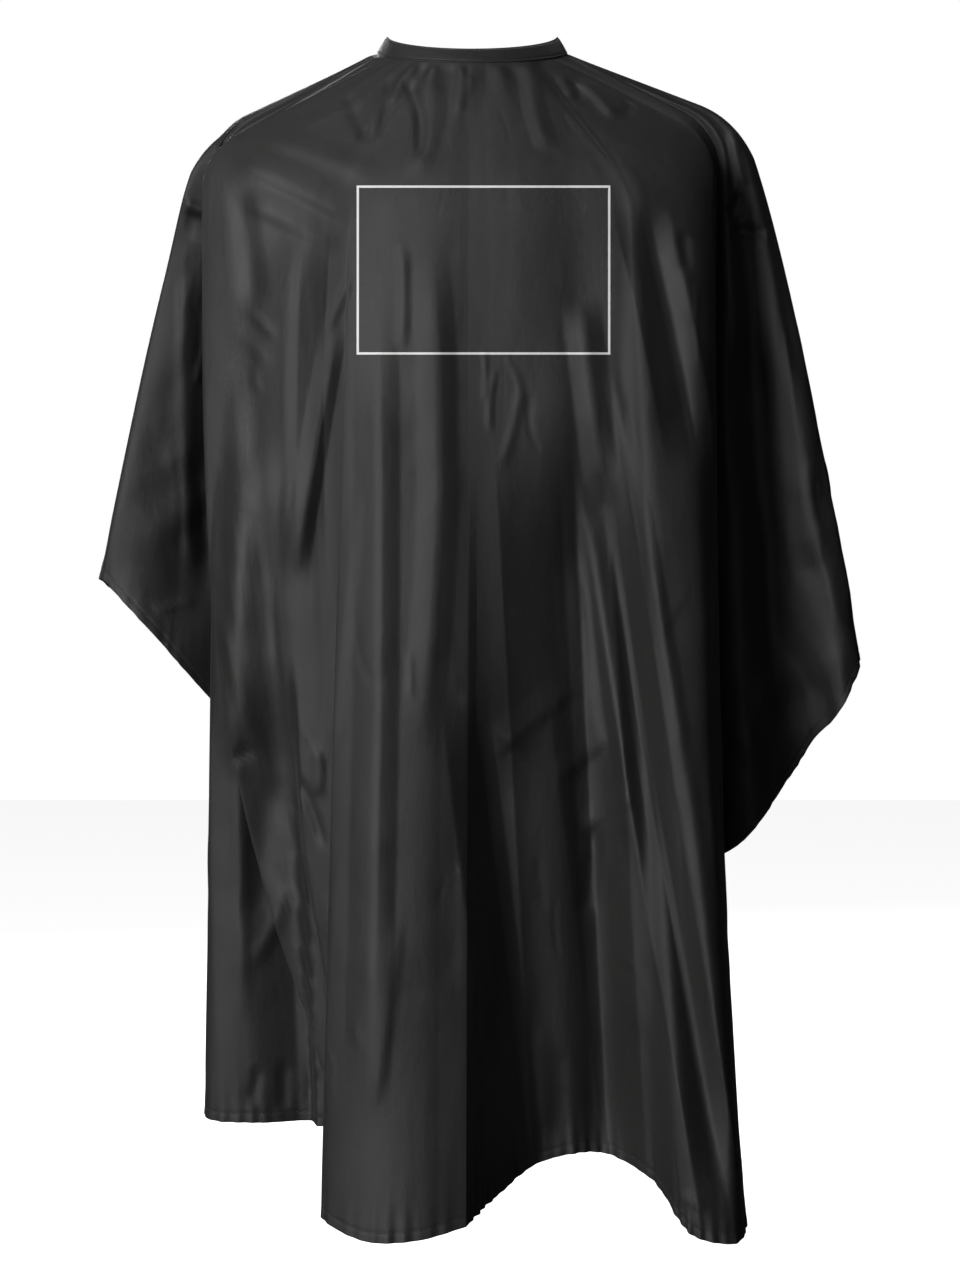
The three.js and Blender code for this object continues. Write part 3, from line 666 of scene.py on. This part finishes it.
def turned_edge(count):
    """Row numbers that go down to an edge and back up inside it, and how far in each lies."""
    last = count - 1
    turned = [last - k for k in range(len(HEM_ROWS) - TUCK_ROWS)]
    rows = [*range(count), last, *turned, turned[-1]]
    inside = [0.0] * count + [HEM_INSIDE / 2, *[HEM_INSIDE] * len(turned), HEM_INSIDE / 2]
    return np.array(rows), np.array(inside)


def grid_normals(points, side):
    """Normals that face out, from a grid whose columns run away from the centre front."""
    across = np.gradient(points, axis=1)
    down = np.gradient(points, axis=0)
    return unit(np.cross(down, across) * side)


def new_object(name, points, faces, material):
    """A smooth mesh from points in millimetres."""
    mesh = bpy.data.meshes.new(name)
    mesh.from_pydata((np.asarray(points) * MM).tolist(), [], faces)
    mesh.polygons.foreach_set("use_smooth", np.ones(len(faces), bool))
    mesh.materials.append(material)
    return new_in_scene(name, mesh)


def set_uv(obj, uv):
    """Gives each corner its point's place on the flat cloth, kept in metres."""
    corners = np.empty(len(obj.data.loops), int)
    obj.data.loops.foreach_get("vertex_index", corners)
    layer = obj.data.uv_layers.new(name="cloth")
    layer.data.foreach_set("uv", (np.asarray(uv)[corners] * MM).ravel())


def grid_object(name, points, uv, material, flip=False):
    rows, columns = points.shape[:2]
    index = np.arange(rows * columns).reshape(rows, columns)
    corners = [index[:-1, :-1], index[1:, :-1], index[1:, 1:], index[:-1, 1:]]
    if flip:
        corners.reverse()
    quads = np.stack(corners, -1).reshape(-1, 4).tolist()
    obj = new_object(name, points.reshape(-1, 3), quads, material)
    set_uv(obj, uv.reshape(-1, 2))
    return obj

# ---- materials


class Material:
    """A material with one shader, and short ways to add its nodes."""

    def __init__(self, name, roughness, metallic=0.0, sheen=0.0):
        self.data = bpy.data.materials.new(name)
        self.data.use_nodes = True
        self.nodes = self.data.node_tree.nodes
        self.links = self.data.node_tree.links
        self.shader = self.nodes["Principled BSDF"]
        self.shader.inputs["Roughness"].default_value = roughness
        self.shader.inputs["Metallic"].default_value = metallic
        self.shader.inputs["Sheen Weight"].default_value = sheen
        self.shader.inputs["Sheen Roughness"].default_value = 0.35

    def set(self, node, key, value):
        socket = node.inputs[key]
        if isinstance(value, bpy.types.NodeSocket):
            self.links.new(value, socket)
        else:
            socket.default_value = value

    def add(self, kind, inputs, **settings):
        node = self.nodes.new("ShaderNode" + kind)
        for key, value in settings.items():
            setattr(node, key, value)
        for key, value in inputs.items():
            self.set(node, key, value)
        return node.outputs[0]

    def cloth_place(self, across, down):
        """The place on the flat cloth, with each direction scaled."""
        uv = self.nodes.new("ShaderNodeUVMap")
        uv.uv_map = "cloth"
        return self.add("Mapping", {"Vector": uv.outputs[0], "Scale": (across, down, 1)})

    def object_place(self, down=1):
        place = self.nodes.new("ShaderNodeTexCoord").outputs["Object"]
        return self.add("Mapping", {"Vector": place, "Scale": (1, 1, down)})

    def noise(self, place, scale, detail=3.0, rough=0.5):
        inputs = {"Vector": place, "Scale": scale, "Detail": detail, "Roughness": rough}
        return self.add("TexNoise", inputs)

    def wave(self, inputs, direction):
        return self.add("TexWave", inputs, bands_direction=direction).node.outputs["Fac"]

    def mean(self, one, other):
        total = self.add("Math", {0: one, 1: other}, operation="ADD")
        return self.add("Math", {0: total, 1: 0.5}, operation="MULTIPLY")

    def blend(self, share, low, high):
        """From one colour to another in the same way as ranged()."""
        node = self.nodes.new("ShaderNodeMix")
        node.data_type = "RGBA"
        self.links.new(self.ranged(share, 0, 1), node.inputs["Factor"])
        node.inputs["A"].default_value = (*low, 1)
        node.inputs["B"].default_value = (*high, 1)
        return next(socket for socket in node.outputs if socket.type == "RGBA")

    def ranged(self, value, low, high):
        """From low to high as a noise value goes over most of its range."""
        ends = {"From Min": 0.3, "From Max": 0.7, "To Min": low, "To Max": high}
        return self.add("MapRange", {"Value": value, **ends})

    def bump(self, height, distance, under=None):
        inputs = {"Height": height, "Distance": distance, "Strength": 1.0}
        if under is not None:
            inputs["Normal"] = under
        return self.add("Bump", inputs)

    def finish(self, colour, roughness, normal):
        self.set(self.shader, "Base Color", colour)
        self.set(self.shader, "Roughness", roughness)
        self.set(self.shader, "Normal", normal)
        return self.data


WEAVE_PITCH = 0.0004  # metres from one rib of the weave to the next
BAND_AT_SCALE_1 = 0.314  # the wave texture's own spacing, in metres


def weave(m, place):
    """Ribs both ways, as plain-woven filament makes them."""
    inputs = {"Vector": place, "Scale": BAND_AT_SCALE_1 / WEAVE_PITCH, "Distortion": 0.6, "Detail": 1.0}
    ribs = [m.wave(inputs, direction) for direction in ("X", "Y")]
    return m.add("Math", {0: ribs[0], 1: ribs[1]}, operation="MULTIPLY")


def cloth_material(name, colours, roughness, sheen, crinkle):
    """Woven filament cloth: ribs, slubbed yarns both ways, and fine creases."""
    m = Material(name, roughness[0], sheen=sheen)
    flat = m.cloth_place(1, 1)
    warp = m.noise(m.cloth_place(1600, 22), 1.0, 2)
    weft = m.noise(m.cloth_place(22, 1600), 1.0, 2)
    yarns = m.mean(warp, weft)
    patches = m.noise(flat, 9, 4)
    soft = m.noise(m.object_place(0.5), 45, 4, 0.5)
    fine = m.noise(m.object_place(0.6), 220, 3, 0.6)
    normal = m.bump(soft, crinkle)
    normal = m.bump(fine, crinkle * 0.16, normal)
    normal = m.bump(yarns, 0.00009, normal)
    normal = m.bump(weave(m, flat), 0.00006, normal)
    colour = m.blend(m.mean(patches, yarns), *colours)
    return m.finish(colour, m.ranged(yarns, *roughness), normal)


def taffeta_material():
    colours = (0.014, 0.014, 0.0135), (0.022, 0.022, 0.0212)
    return cloth_material("taffeta", colours, (0.47, 0.57), 0.1, 0.0008)


def band_material():
    colours = (0.011, 0.011, 0.0104), (0.018, 0.018, 0.017)
    return cloth_material("band_cloth", colours, (0.48, 0.6), 0.3, 0.0009)


def interlining_material():
    """Pressed fibres lying every way."""
    m = Material("interlining", 0.9, sheen=0.2)
    place = m.object_place()
    fibres = m.noise(place, 1900, 6, 0.75)
    clumps = m.noise(place, 260, 3)
    normal = m.bump(fibres, 0.00012)
    colour = m.blend(clumps, (0.6, 0.59, 0.54), (0.74, 0.73, 0.69))
    return m.finish(colour, m.ranged(fibres, 0.82, 0.95), normal)


def thread_material():
    """Twisted polyester thread."""
    m = Material("thread", 0.5, sheen=0.3)
    place = m.object_place()
    inputs = {"Vector": place, "Scale": 900.0, "Distortion": 1.5, "Detail": 2.0}
    twist = m.wave(inputs, "DIAGONAL")
    lint = m.noise(place, 2600, 2)
    normal = m.bump(twist, 0.00005)
    colour = m.blend(lint, (0.011, 0.011, 0.0108), (0.026, 0.026, 0.025))
    return m.finish(colour, m.ranged(twist, 0.42, 0.62), normal)


def speckled_material(name, roughness, metallic, speckle, grain, depth, colours):
    """A hard finish, uneven in colour and shine, with a fine grain of that depth."""
    m = Material(name, roughness[0], metallic=metallic)
    place = m.object_place()
    cover = m.noise(place, *speckle)
    normal = m.bump(m.noise(place, *grain), depth)
    return m.finish(m.blend(cover, *colours), m.ranged(cover, *roughness), normal)


def snap_material():
    """Black enamelled metal, with the enamel rubbed in places."""
    colours = (0.013, 0.013, 0.015), (0.07, 0.07, 0.075)
    shine = (0.24, 0.44)
    return speckled_material("snap_metal", shine, 0.85, (420, 5, 0.65), (2400, 2), 0.00002, colours)


def ink_material():
    """White screen-printing ink, a little uneven over the weave."""
    colours = (0.72, 0.72, 0.71), (0.86, 0.86, 0.85)
    shine = (0.45, 0.65)
    return speckled_material("print_ink", shine, 0, (900, 4, 0.6), (2600, 2), 0.00004, colours)


TAFFETA = taffeta_material()
BAND_CLOTH = band_material()
INTERLINING = interlining_material()
THREAD = thread_material()
SNAP_METAL = snap_material()
INK = ink_material()

# ---- the flaps' and the tab's pieces: each one's transform baked into its mesh, with no bending


def bend_with_flap(obj):
    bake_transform(obj)


def bend_with_tab(obj):
    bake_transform(obj)


# ---- stitches

STITCH = 2.7
STITCH_PITCH = 3.3
STITCH_AIM = 0.3  # a stitch's direction is read this far each side of its middle
THREAD_RADIUS = 0.26
THREAD_SIDES = 6
# Rings along a stitch: place as a share of its length, thickness as a share, and rise.
STITCH_RINGS = (
    *((-0.5, 0.3, -0.25), (-0.4, 0.8, 0.05), (-0.15, 1, 0.2)),
    *((0.15, 1, 0.2), (0.4, 0.8, 0.05), (0.5, 0.3, -0.25)),
)


def tube_faces(rings, sides, first=0):
    """Quads round rings of points that follow one another, and a cap on each end."""
    faces = []
    for r in range(rings - 1):
        for k in range(sides):
            a, b = first + r * sides + k, first + r * sides + (k + 1) % sides
            faces.append((a, b, b + sides, a + sides))
    last = first + (rings - 1) * sides
    faces.append(tuple(range(first + sides - 1, first - 1, -1)))
    faces.append(tuple(range(last, last + sides)))
    return faces


def circle(sides):
    return np.arange(sides) / sides * 2 * math.pi


def stitches(name, path, normal):
    """A row of short arched threads that dip into the cloth at both ends."""
    travelled = distances(path)
    count = int((travelled[-1] - STITCH) / STITCH_PITCH)
    places = STITCH / 2 + np.arange(count) * STITCH_PITCH

    def read(values, at):
        return np.stack([np.interp(at, travelled, values[:, k]) for k in range(3)], -1)

    along = unit(read(path, places + STITCH_AIM) - read(path, places - STITCH_AIM))
    out = unit(read(normal, places))
    points, faces = [], []
    for centre, a, n, s in zip(read(path, places), along, out, np.cross(along, out)):
        faces += tube_faces(len(STITCH_RINGS), THREAD_SIDES, len(points))
        for place, fat, rise in STITCH_RINGS:
            hub = centre + a * place * STITCH + n * rise
            for t in circle(THREAD_SIDES):
                points.append(hub + (s * math.cos(t) + n * math.sin(t)) * THREAD_RADIUS * fat)
    obj = new_object(name, points, faces, THREAD)
    return obj


# ---- the sheet and its hems


def hem_path(half):
    """The stitch line along the hem and up the back slit, and the normals along it."""
    normal = grid_normals(half.points, half.side)
    row = len(half.along) - 1 - HEM_ROWS[::-1].index(HEM_STITCH)
    column = len(half.across) - 1 - HEM_ROWS[::-1].index(HEM_STITCH)
    rows = [*[row] * column, *range(row, -1, -1)]
    columns = [*range(column), *[column] * (row + 1)]
    return half.points[rows, columns], normal[rows, columns]


def add_half_sheet(word):
    side = HALVES[word]
    half = Half(side)
    points, uv = half.sheet_grid()
    sheet = grid_object(f"{word}_sheet", points, uv, TAFFETA, flip=side < 0)
    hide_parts(f"{word}_front_panel", f"{word}_side_drape", f"{word}_back_flap")
    bend_with_flap(sheet)
    hem = stitches(f"{word}_hem_stitches", *hem_path(half))
    bend_with_flap(hem)
    return sheet


SHEETS = [add_half_sheet(word) for word in HALVES]

# ---- the neckband

PLY = 0.5
PLY_GAP = 0.3
LINING = 0.5
HALF_BAND = BAND_THICKNESS / 2
STITCH_INSET = 2.2  # from the band's edges to its stitches
SEAM_DOWN = BAND_HEIGHT - STITCH_INSET
SEAM_START = 0.3  # degrees from the end of a piece of band to its first stitch
STITCH_SINK = 0.05
UNDERLAP = 6
TAB_LENGTH = 36
TAB_FROM = 168  # degrees round the neck where the tab's piece takes over from the overlap's
BACK_RADIUS = (BAND_TOP[0] + BAND_FOOT[0]) / 2
CORNER = 4  # radius of the corners at the band's two ends
CORNER_KEPT = 0.999  # below 1, the whole section starts a hair inside the band's edges
LINING_INSET = (0.4, 0.8)  # degrees from the ends of a piece of band to its interlining's
SWELL = 0.22  # how far each face crowns between the fold and the stitches
GROOVES = (0.5, 0.28)  # how deep the stitches draw in a ply's outer and inner face
STITCH_WIDTH = 0.75
PLY_EDGE = 0.12  # rounding of the plies' cut edges
RING_STEP = 0.8  # degrees from one ring of the band to the next
FIRST_RING = 0.03  # close to the first cap, so that light runs on across the centre front


def back_angle(distance):
    """Degrees round the neck for a distance along the band at the back."""
    return math.degrees(distance / BACK_RADIUS)


def band_section():
    """The folded strip's outline, down and out from the middle of its upper edge: round at
    the fold, open at its foot, and drawn in along the stitches."""
    outer, inner = HALF_BAND, HALF_BAND - PLY
    stitch = BAND_HEIGHT - STITCH_INSET
    downs = [2, 4, 6.5, 9, 11.5, 13.5, stitch - 1.2, stitch - 0.5, stitch, stitch + 0.5]
    downs += [stitch + 1.2, BAND_HEIGHT - 0.4]

    def crown(down, groove):
        swell = SWELL * math.sin(math.pi * min(down / stitch, 1))
        return swell - groove * math.exp(-(((down - stitch) / STITCH_WIDTH) ** 2))

    def face(radius, sign):
        groove = GROOVES[radius == inner]
        return [(down, sign * (radius + crown(down, groove))) for down in downs]

    def fold(radius, steps, sign):
        turns = [math.pi * (k / steps - 0.5) * sign for k in range(steps + 1)]
        return [(HALF_BAND - radius * math.cos(t), -radius * math.sin(t)) for t in turns]

    foot = [(BAND_HEIGHT, outer - PLY_EDGE), (BAND_HEIGHT, inner + PLY_EDGE)]
    foot_inside = [(down, -out) for down, out in reversed(foot)]
    return [
        *fold(outer, 8, -1)[::-1],
        *face(outer, 1),
        *foot,
        *face(inner, 1)[::-1],
        *fold(inner, 6, 1),
        *face(inner, -1),
        *foot_inside,
        *face(outer, -1)[::-1],
    ]


def lining_section():
    top, foot, out = PLY + PLY_GAP, BAND_HEIGHT - 1, LINING / 2
    downs = np.linspace(top, foot, 9)
    return [*((d, out) for d in downs), *((d, -out) for d in downs[::-1])]


def sweep(name, side, angles, section, material, round_end=False):
    """A solid that follows the band, with rounded corners at its last end if wanted."""
    section = np.array(section)
    normal = band_normal(side, angles)
    length = np.radians(np.abs(angles - angles[0])) * BACK_RADIUS
    reach = np.clip(CORNER - (length[-1] - length), 0, CORNER) * round_end
    draw_in = CORNER - np.sqrt(CORNER**2 - reach**2) * CORNER_KEPT
    share = (BAND_HEIGHT - 2 * draw_in) / BAND_HEIGHT
    rings = []
    for down, out in section:
        place = (draw_in + down * share) / BAND_HEIGHT
        offset = out + lap_offset(side, angles)
        rings.append(band_point(side, angles, place) + normal * offset[:, None])
    points = np.stack(rings, 1)
    faces = tube_faces(len(angles), len(section))
    if side > 0:
        faces = [(face[0], *face[:0:-1]) for face in faces]
    obj = new_object(name, points.reshape(-1, 3), faces, material)
    for cap in obj.data.polygons[-2:]:
        cap.use_smooth = False
    uv = np.stack(np.broadcast_arrays(side * length[:, None], distances(section)[None]), -1)
    set_uv(obj, uv.reshape(-1, 2))
    return obj


def band_part(name, side, first, last, round_end, nodes):
    """One length of folded band with its interlining."""
    angles = np.linspace(first, last, max(24, round(abs(last - first) / RING_STEP)))
    angles = np.insert(angles, 1, first + FIRST_RING)
    band = sweep(name, side, angles, band_section(), BAND_CLOTH, round_end)
    inside = np.linspace(first + LINING_INSET[0], last - LINING_INSET[1], len(angles))
    lining = sweep(f"{name}_interlining", side, inside, lining_section(), INTERLINING)
    for piece, suffix in ((band, ""), (lining, "_interlining")):
        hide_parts(*(f"{node}{suffix}" for node in nodes))
    return band, lining


def band_line(side, angles, down):
    """A line along the band's outer face and its normals."""
    normal = band_normal(side, angles)
    out = HALF_BAND + lap_offset(side, angles) - STITCH_SINK
    return band_point(side, angles, down / BAND_HEIGHT) + normal * out[:, None], normal


def add_neckband():
    parts = {
        "left": (180 + back_angle(UNDERLAP), "underlap", ["neckband_stitch"]),
        "right": (TAB_FROM, "overlap", ["neckband_stitch", "overlap_stitch"]),
    }
    for word, (last, node, stitch_nodes) in parts.items():
        side = HALVES[word]
        round_end = word == "left"
        pieces = band_part(f"{word}_band", side, 0, last, round_end, ["neckband", node])
        seam_end = last - back_angle(STITCH_INSET) * round_end
        angles = np.linspace(SEAM_START, seam_end, num=400)
        rows = stitches(f"{word}_band_stitches", *band_line(side, angles, SEAM_DOWN))
        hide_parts(*stitch_nodes)
        for piece in (*pieces, rows):
            bend_with_flap(piece)


def add_tab():
    """The tab, stitched along its foot, round its end and back to the centre."""
    last = 180 + back_angle(TAB_LENGTH)
    pieces = band_part("tab", 1, TAB_FROM, last, True, ["closure_tab"])
    edge = last - back_angle(STITCH_INSET)
    along = np.linspace(TAB_FROM + SEAM_START, edge, num=120)
    across = np.linspace(SEAM_DOWN, STITCH_INSET, num=30)
    back = np.linspace(edge, 180, num=90)
    angles = np.concatenate([along, np.full_like(across, edge), back])
    downs = [np.full_like(along, SEAM_DOWN), across, np.full_like(back, STITCH_INSET)]
    rows = stitches("tab_stitches", *band_line(1, angles, np.concatenate(downs)))
    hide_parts("closure_tab_stitch")
    for piece in (*pieces, rows):
        bend_with_tab(piece)


add_neckband()
add_tab()

# ---- press studs

STUD_COUNT = 5
STUD_PITCH = 13
FIRST_STUD = 1  # first stud's distance from the centre back
CLOSED_ON = 2  # the stud that the tab's socket is pressed on to
SNAP_GAP = 0.3
SOCKET_HEIGHT = 1.9
SNAP_SIDES = 48

# Radii and heights of the four round pieces.
STUD_PROFILE = [
    *((0, 0), (4.2, 0), (4.5, 0.1), (4.6, 0.3), (4.5, 0.5), (4.2, 0.6), (3.7, 0.55)),
    *((3.3, 0.38), (2.9, 0.36), (2.4, 0.5), (1.9, 0.62), (1.6, 0.8), (1.55, 1.0)),
    *((1.72, 1.25), (1.8, 1.5), (1.72, 1.78), (1.45, 2.0), (1.0, 2.1), (0.5, 2.08), (0, 2.05)),
]
RING_PROFILE = [
    *((0, 0), (3.9, 0), (4.3, -0.08), (4.58, -0.25), (4.5, -0.45), (4.1, -0.6), (3.6, -0.62)),
    *((3.2, -0.5), (2.9, -0.36), (2.5, -0.34), (2.2, -0.45), (1.5, -0.5), (0.7, -0.42), (0, -0.4)),
]
SOCKET_PROFILE = [
    *((0, 1.9), (4.2, 1.9), (4.5, 1.8), (4.6, 1.55), (4.6, 0.9), (4.45, 0.68), (4.0, 0.45)),
    *((3.7, 0.15), (3.45, 0.02), (3.1, 0), (2.5, 0.02), (2.25, 0.15), (2.2, 0.45), (2.3, 0.9)),
    *((2.3, 1.3), (1.6, 1.38), (0, 1.4)),
]
CAP_PROFILE = [
    *((0, 0), (4.7, 0), (5.0, 0.08), (5.1, 0.28), (5.0, 0.5), (4.6, 0.66), (4.2, 0.7)),
    *((3.9, 0.78), (3.4, 0.98), (2.6, 1.16), (1.6, 1.26), (0.8, 1.3), (0, 1.3)),
]
SPRING_RADIUS = 0.28
SPRING_REACH = 1.95  # half its length
SPRING_ASIDE = 1.35  # from the socket's middle to the wire's
SPRING_BOW = 0.35
SPRING_UP = 0.8
SPRING_SIDES = 8
SPRING_RINGS = 13


def turned(profile):
    """Points and faces of a round piece that stands on +Z, from its radii and heights."""
    points, rings, faces = [], [], []
    for radius, height in profile:
        if radius == 0:
            rings.append([len(points)] * SNAP_SIDES)
            points.append((0, 0, height))
            continue
        rings.append([len(points) + k for k in range(SNAP_SIDES)])
        points += [(radius * math.cos(t), radius * math.sin(t), height) for t in circle(SNAP_SIDES)]
    for low, high in zip(rings, rings[1:]):
        for k in range(SNAP_SIDES):
            n = (k + 1) % SNAP_SIDES
            corners = dict.fromkeys((low[k], low[n], high[n], high[k]))
            faces.append(tuple(corners))
    return points, faces


def spring(points, faces):
    """The two bent wires inside the socket's mouth that grip the stud."""
    for hand in (-1, 1):
        faces += tube_faces(SPRING_RINGS, SPRING_SIDES, len(points))
        for share in np.linspace(-1, 1, SPRING_RINGS):
            x, y = share * SPRING_REACH, hand * (SPRING_ASIDE + SPRING_BOW * share**2)
            for t in circle(SPRING_SIDES):
                aside, up = SPRING_RADIUS * math.cos(t), SPRING_RADIUS * math.sin(t)
                points.append((x, y + aside, SPRING_UP + up))


def snap_piece(name, shape, distance, out, body, node):
    """A round piece on the band's face, at a distance left of the centre back."""
    points, faces = shape
    angle = np.array([180 - back_angle(distance)])
    normal = band_normal(-1, angle)[0]
    place = band_point(-1, angle, 0.5)[0] + normal * out
    turn = Vector((0, 0, 1)).rotation_difference(Vector(normal))
    placed = [turn @ Vector(p) + Vector(place) for p in points]
    piece = new_object(name, placed, faces, SNAP_METAL)
    face_out(piece)
    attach(piece, body)
    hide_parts(node)


def face_out(obj):
    work = bmesh.new()
    work.from_mesh(obj.data)
    bmesh.ops.recalc_face_normals(work, faces=work.faces)
    work.to_mesh(obj.data)
    work.free()


def add_snaps():
    outside = HALF_BAND + SNAP_GAP
    for i in range(STUD_COUNT):
        distance = FIRST_STUD + i * STUD_PITCH
        stud, ring = f"stud_{i + 1}", f"stud_ring_{i + 1}"
        snap_piece(f"press_{stud}", turned(STUD_PROFILE), distance, outside, "left_flap", stud)
        snap_piece(f"press_{ring}", turned(RING_PROFILE), distance, -outside, "left_flap", ring)
    distance = FIRST_STUD + CLOSED_ON * STUD_PITCH
    tab_out = BAND_THICKNESS + LAP_SPACE
    socket = turned(SOCKET_PROFILE)
    spring(*socket)
    inside = tab_out - HALF_BAND - SNAP_GAP - SOCKET_HEIGHT
    snap_piece("press_socket", socket, distance, inside, "tab", "snap_socket")
    snap_piece("press_cap", turned(CAP_PROFILE), distance, tab_out + outside, "tab", "snap_cap")


add_snaps()

# ---- the printed frame

PRINT_CENTRE = (10, -217)  # x and z of the middle of the blank frame on the chest
PRINT_SIZE = (214, 142)
PRINT_LINE = 2.0  # width of its line
PRINT_LIFT = 0.35  # off the cloth
PRINT_PLANE = -118  # y of the chest, where the frame has its stated size
PRINT_STEP = 1.5
ACROSS_LINE = (-0.5, 0, 0.5)  # shares of the line's width


def on_chest(trees, x, z):
    """The point on the cloth that someone in front sees at x, z, just clear of its face."""
    ray = Vector((x, PRINT_PLANE, z)) * MM - EYE
    hits = [tree.ray_cast(EYE, ray.normalized()) for tree in trees]
    place, normal = min((hit[:2] for hit in hits if hit[0]), key=lambda hit: hit[0].y)
    if normal.y > 0:
        normal = -normal
    return (place / MM) + normal * PRINT_LIFT


def add_print():
    """A plain white rectangle printed on the chest, left blank inside."""
    shown = bpy.context.evaluated_depsgraph_get()
    trees = [BVHTree.FromObject(sheet, shown) for sheet in SHEETS]
    corners = ((-1, 1), (1, 1), (1, -1), (-1, -1))
    columns = []
    for k, start in enumerate(corners):
        end = corners[(k + 1) % 4]
        side_length = PRINT_SIZE[0] if start[1] == end[1] else PRINT_SIZE[1]
        count = round(side_length / PRINT_STEP)
        for share in np.arange(count) / count:
            column = []
            for offset in ACROSS_LINE:
                half = np.array(PRINT_SIZE) / 2 + offset * PRINT_LINE
                at = (np.array(start) * (1 - share) + np.array(end) * share) * half
                column.append(on_chest(trees, *(at + PRINT_CENTRE)))
            columns.append(column)
    count, width = len(columns), len(ACROSS_LINE)
    faces = []
    for i in range(count):
        for j in range(width - 1):
            a, b = i * width + j, (i + 1) % count * width + j
            faces.append((a, b, b + 1, a + 1))
    frame_print = new_object("print_frame", [p for c in columns for p in c], faces, INK)
    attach(frame_print, "cape_body")


add_print()
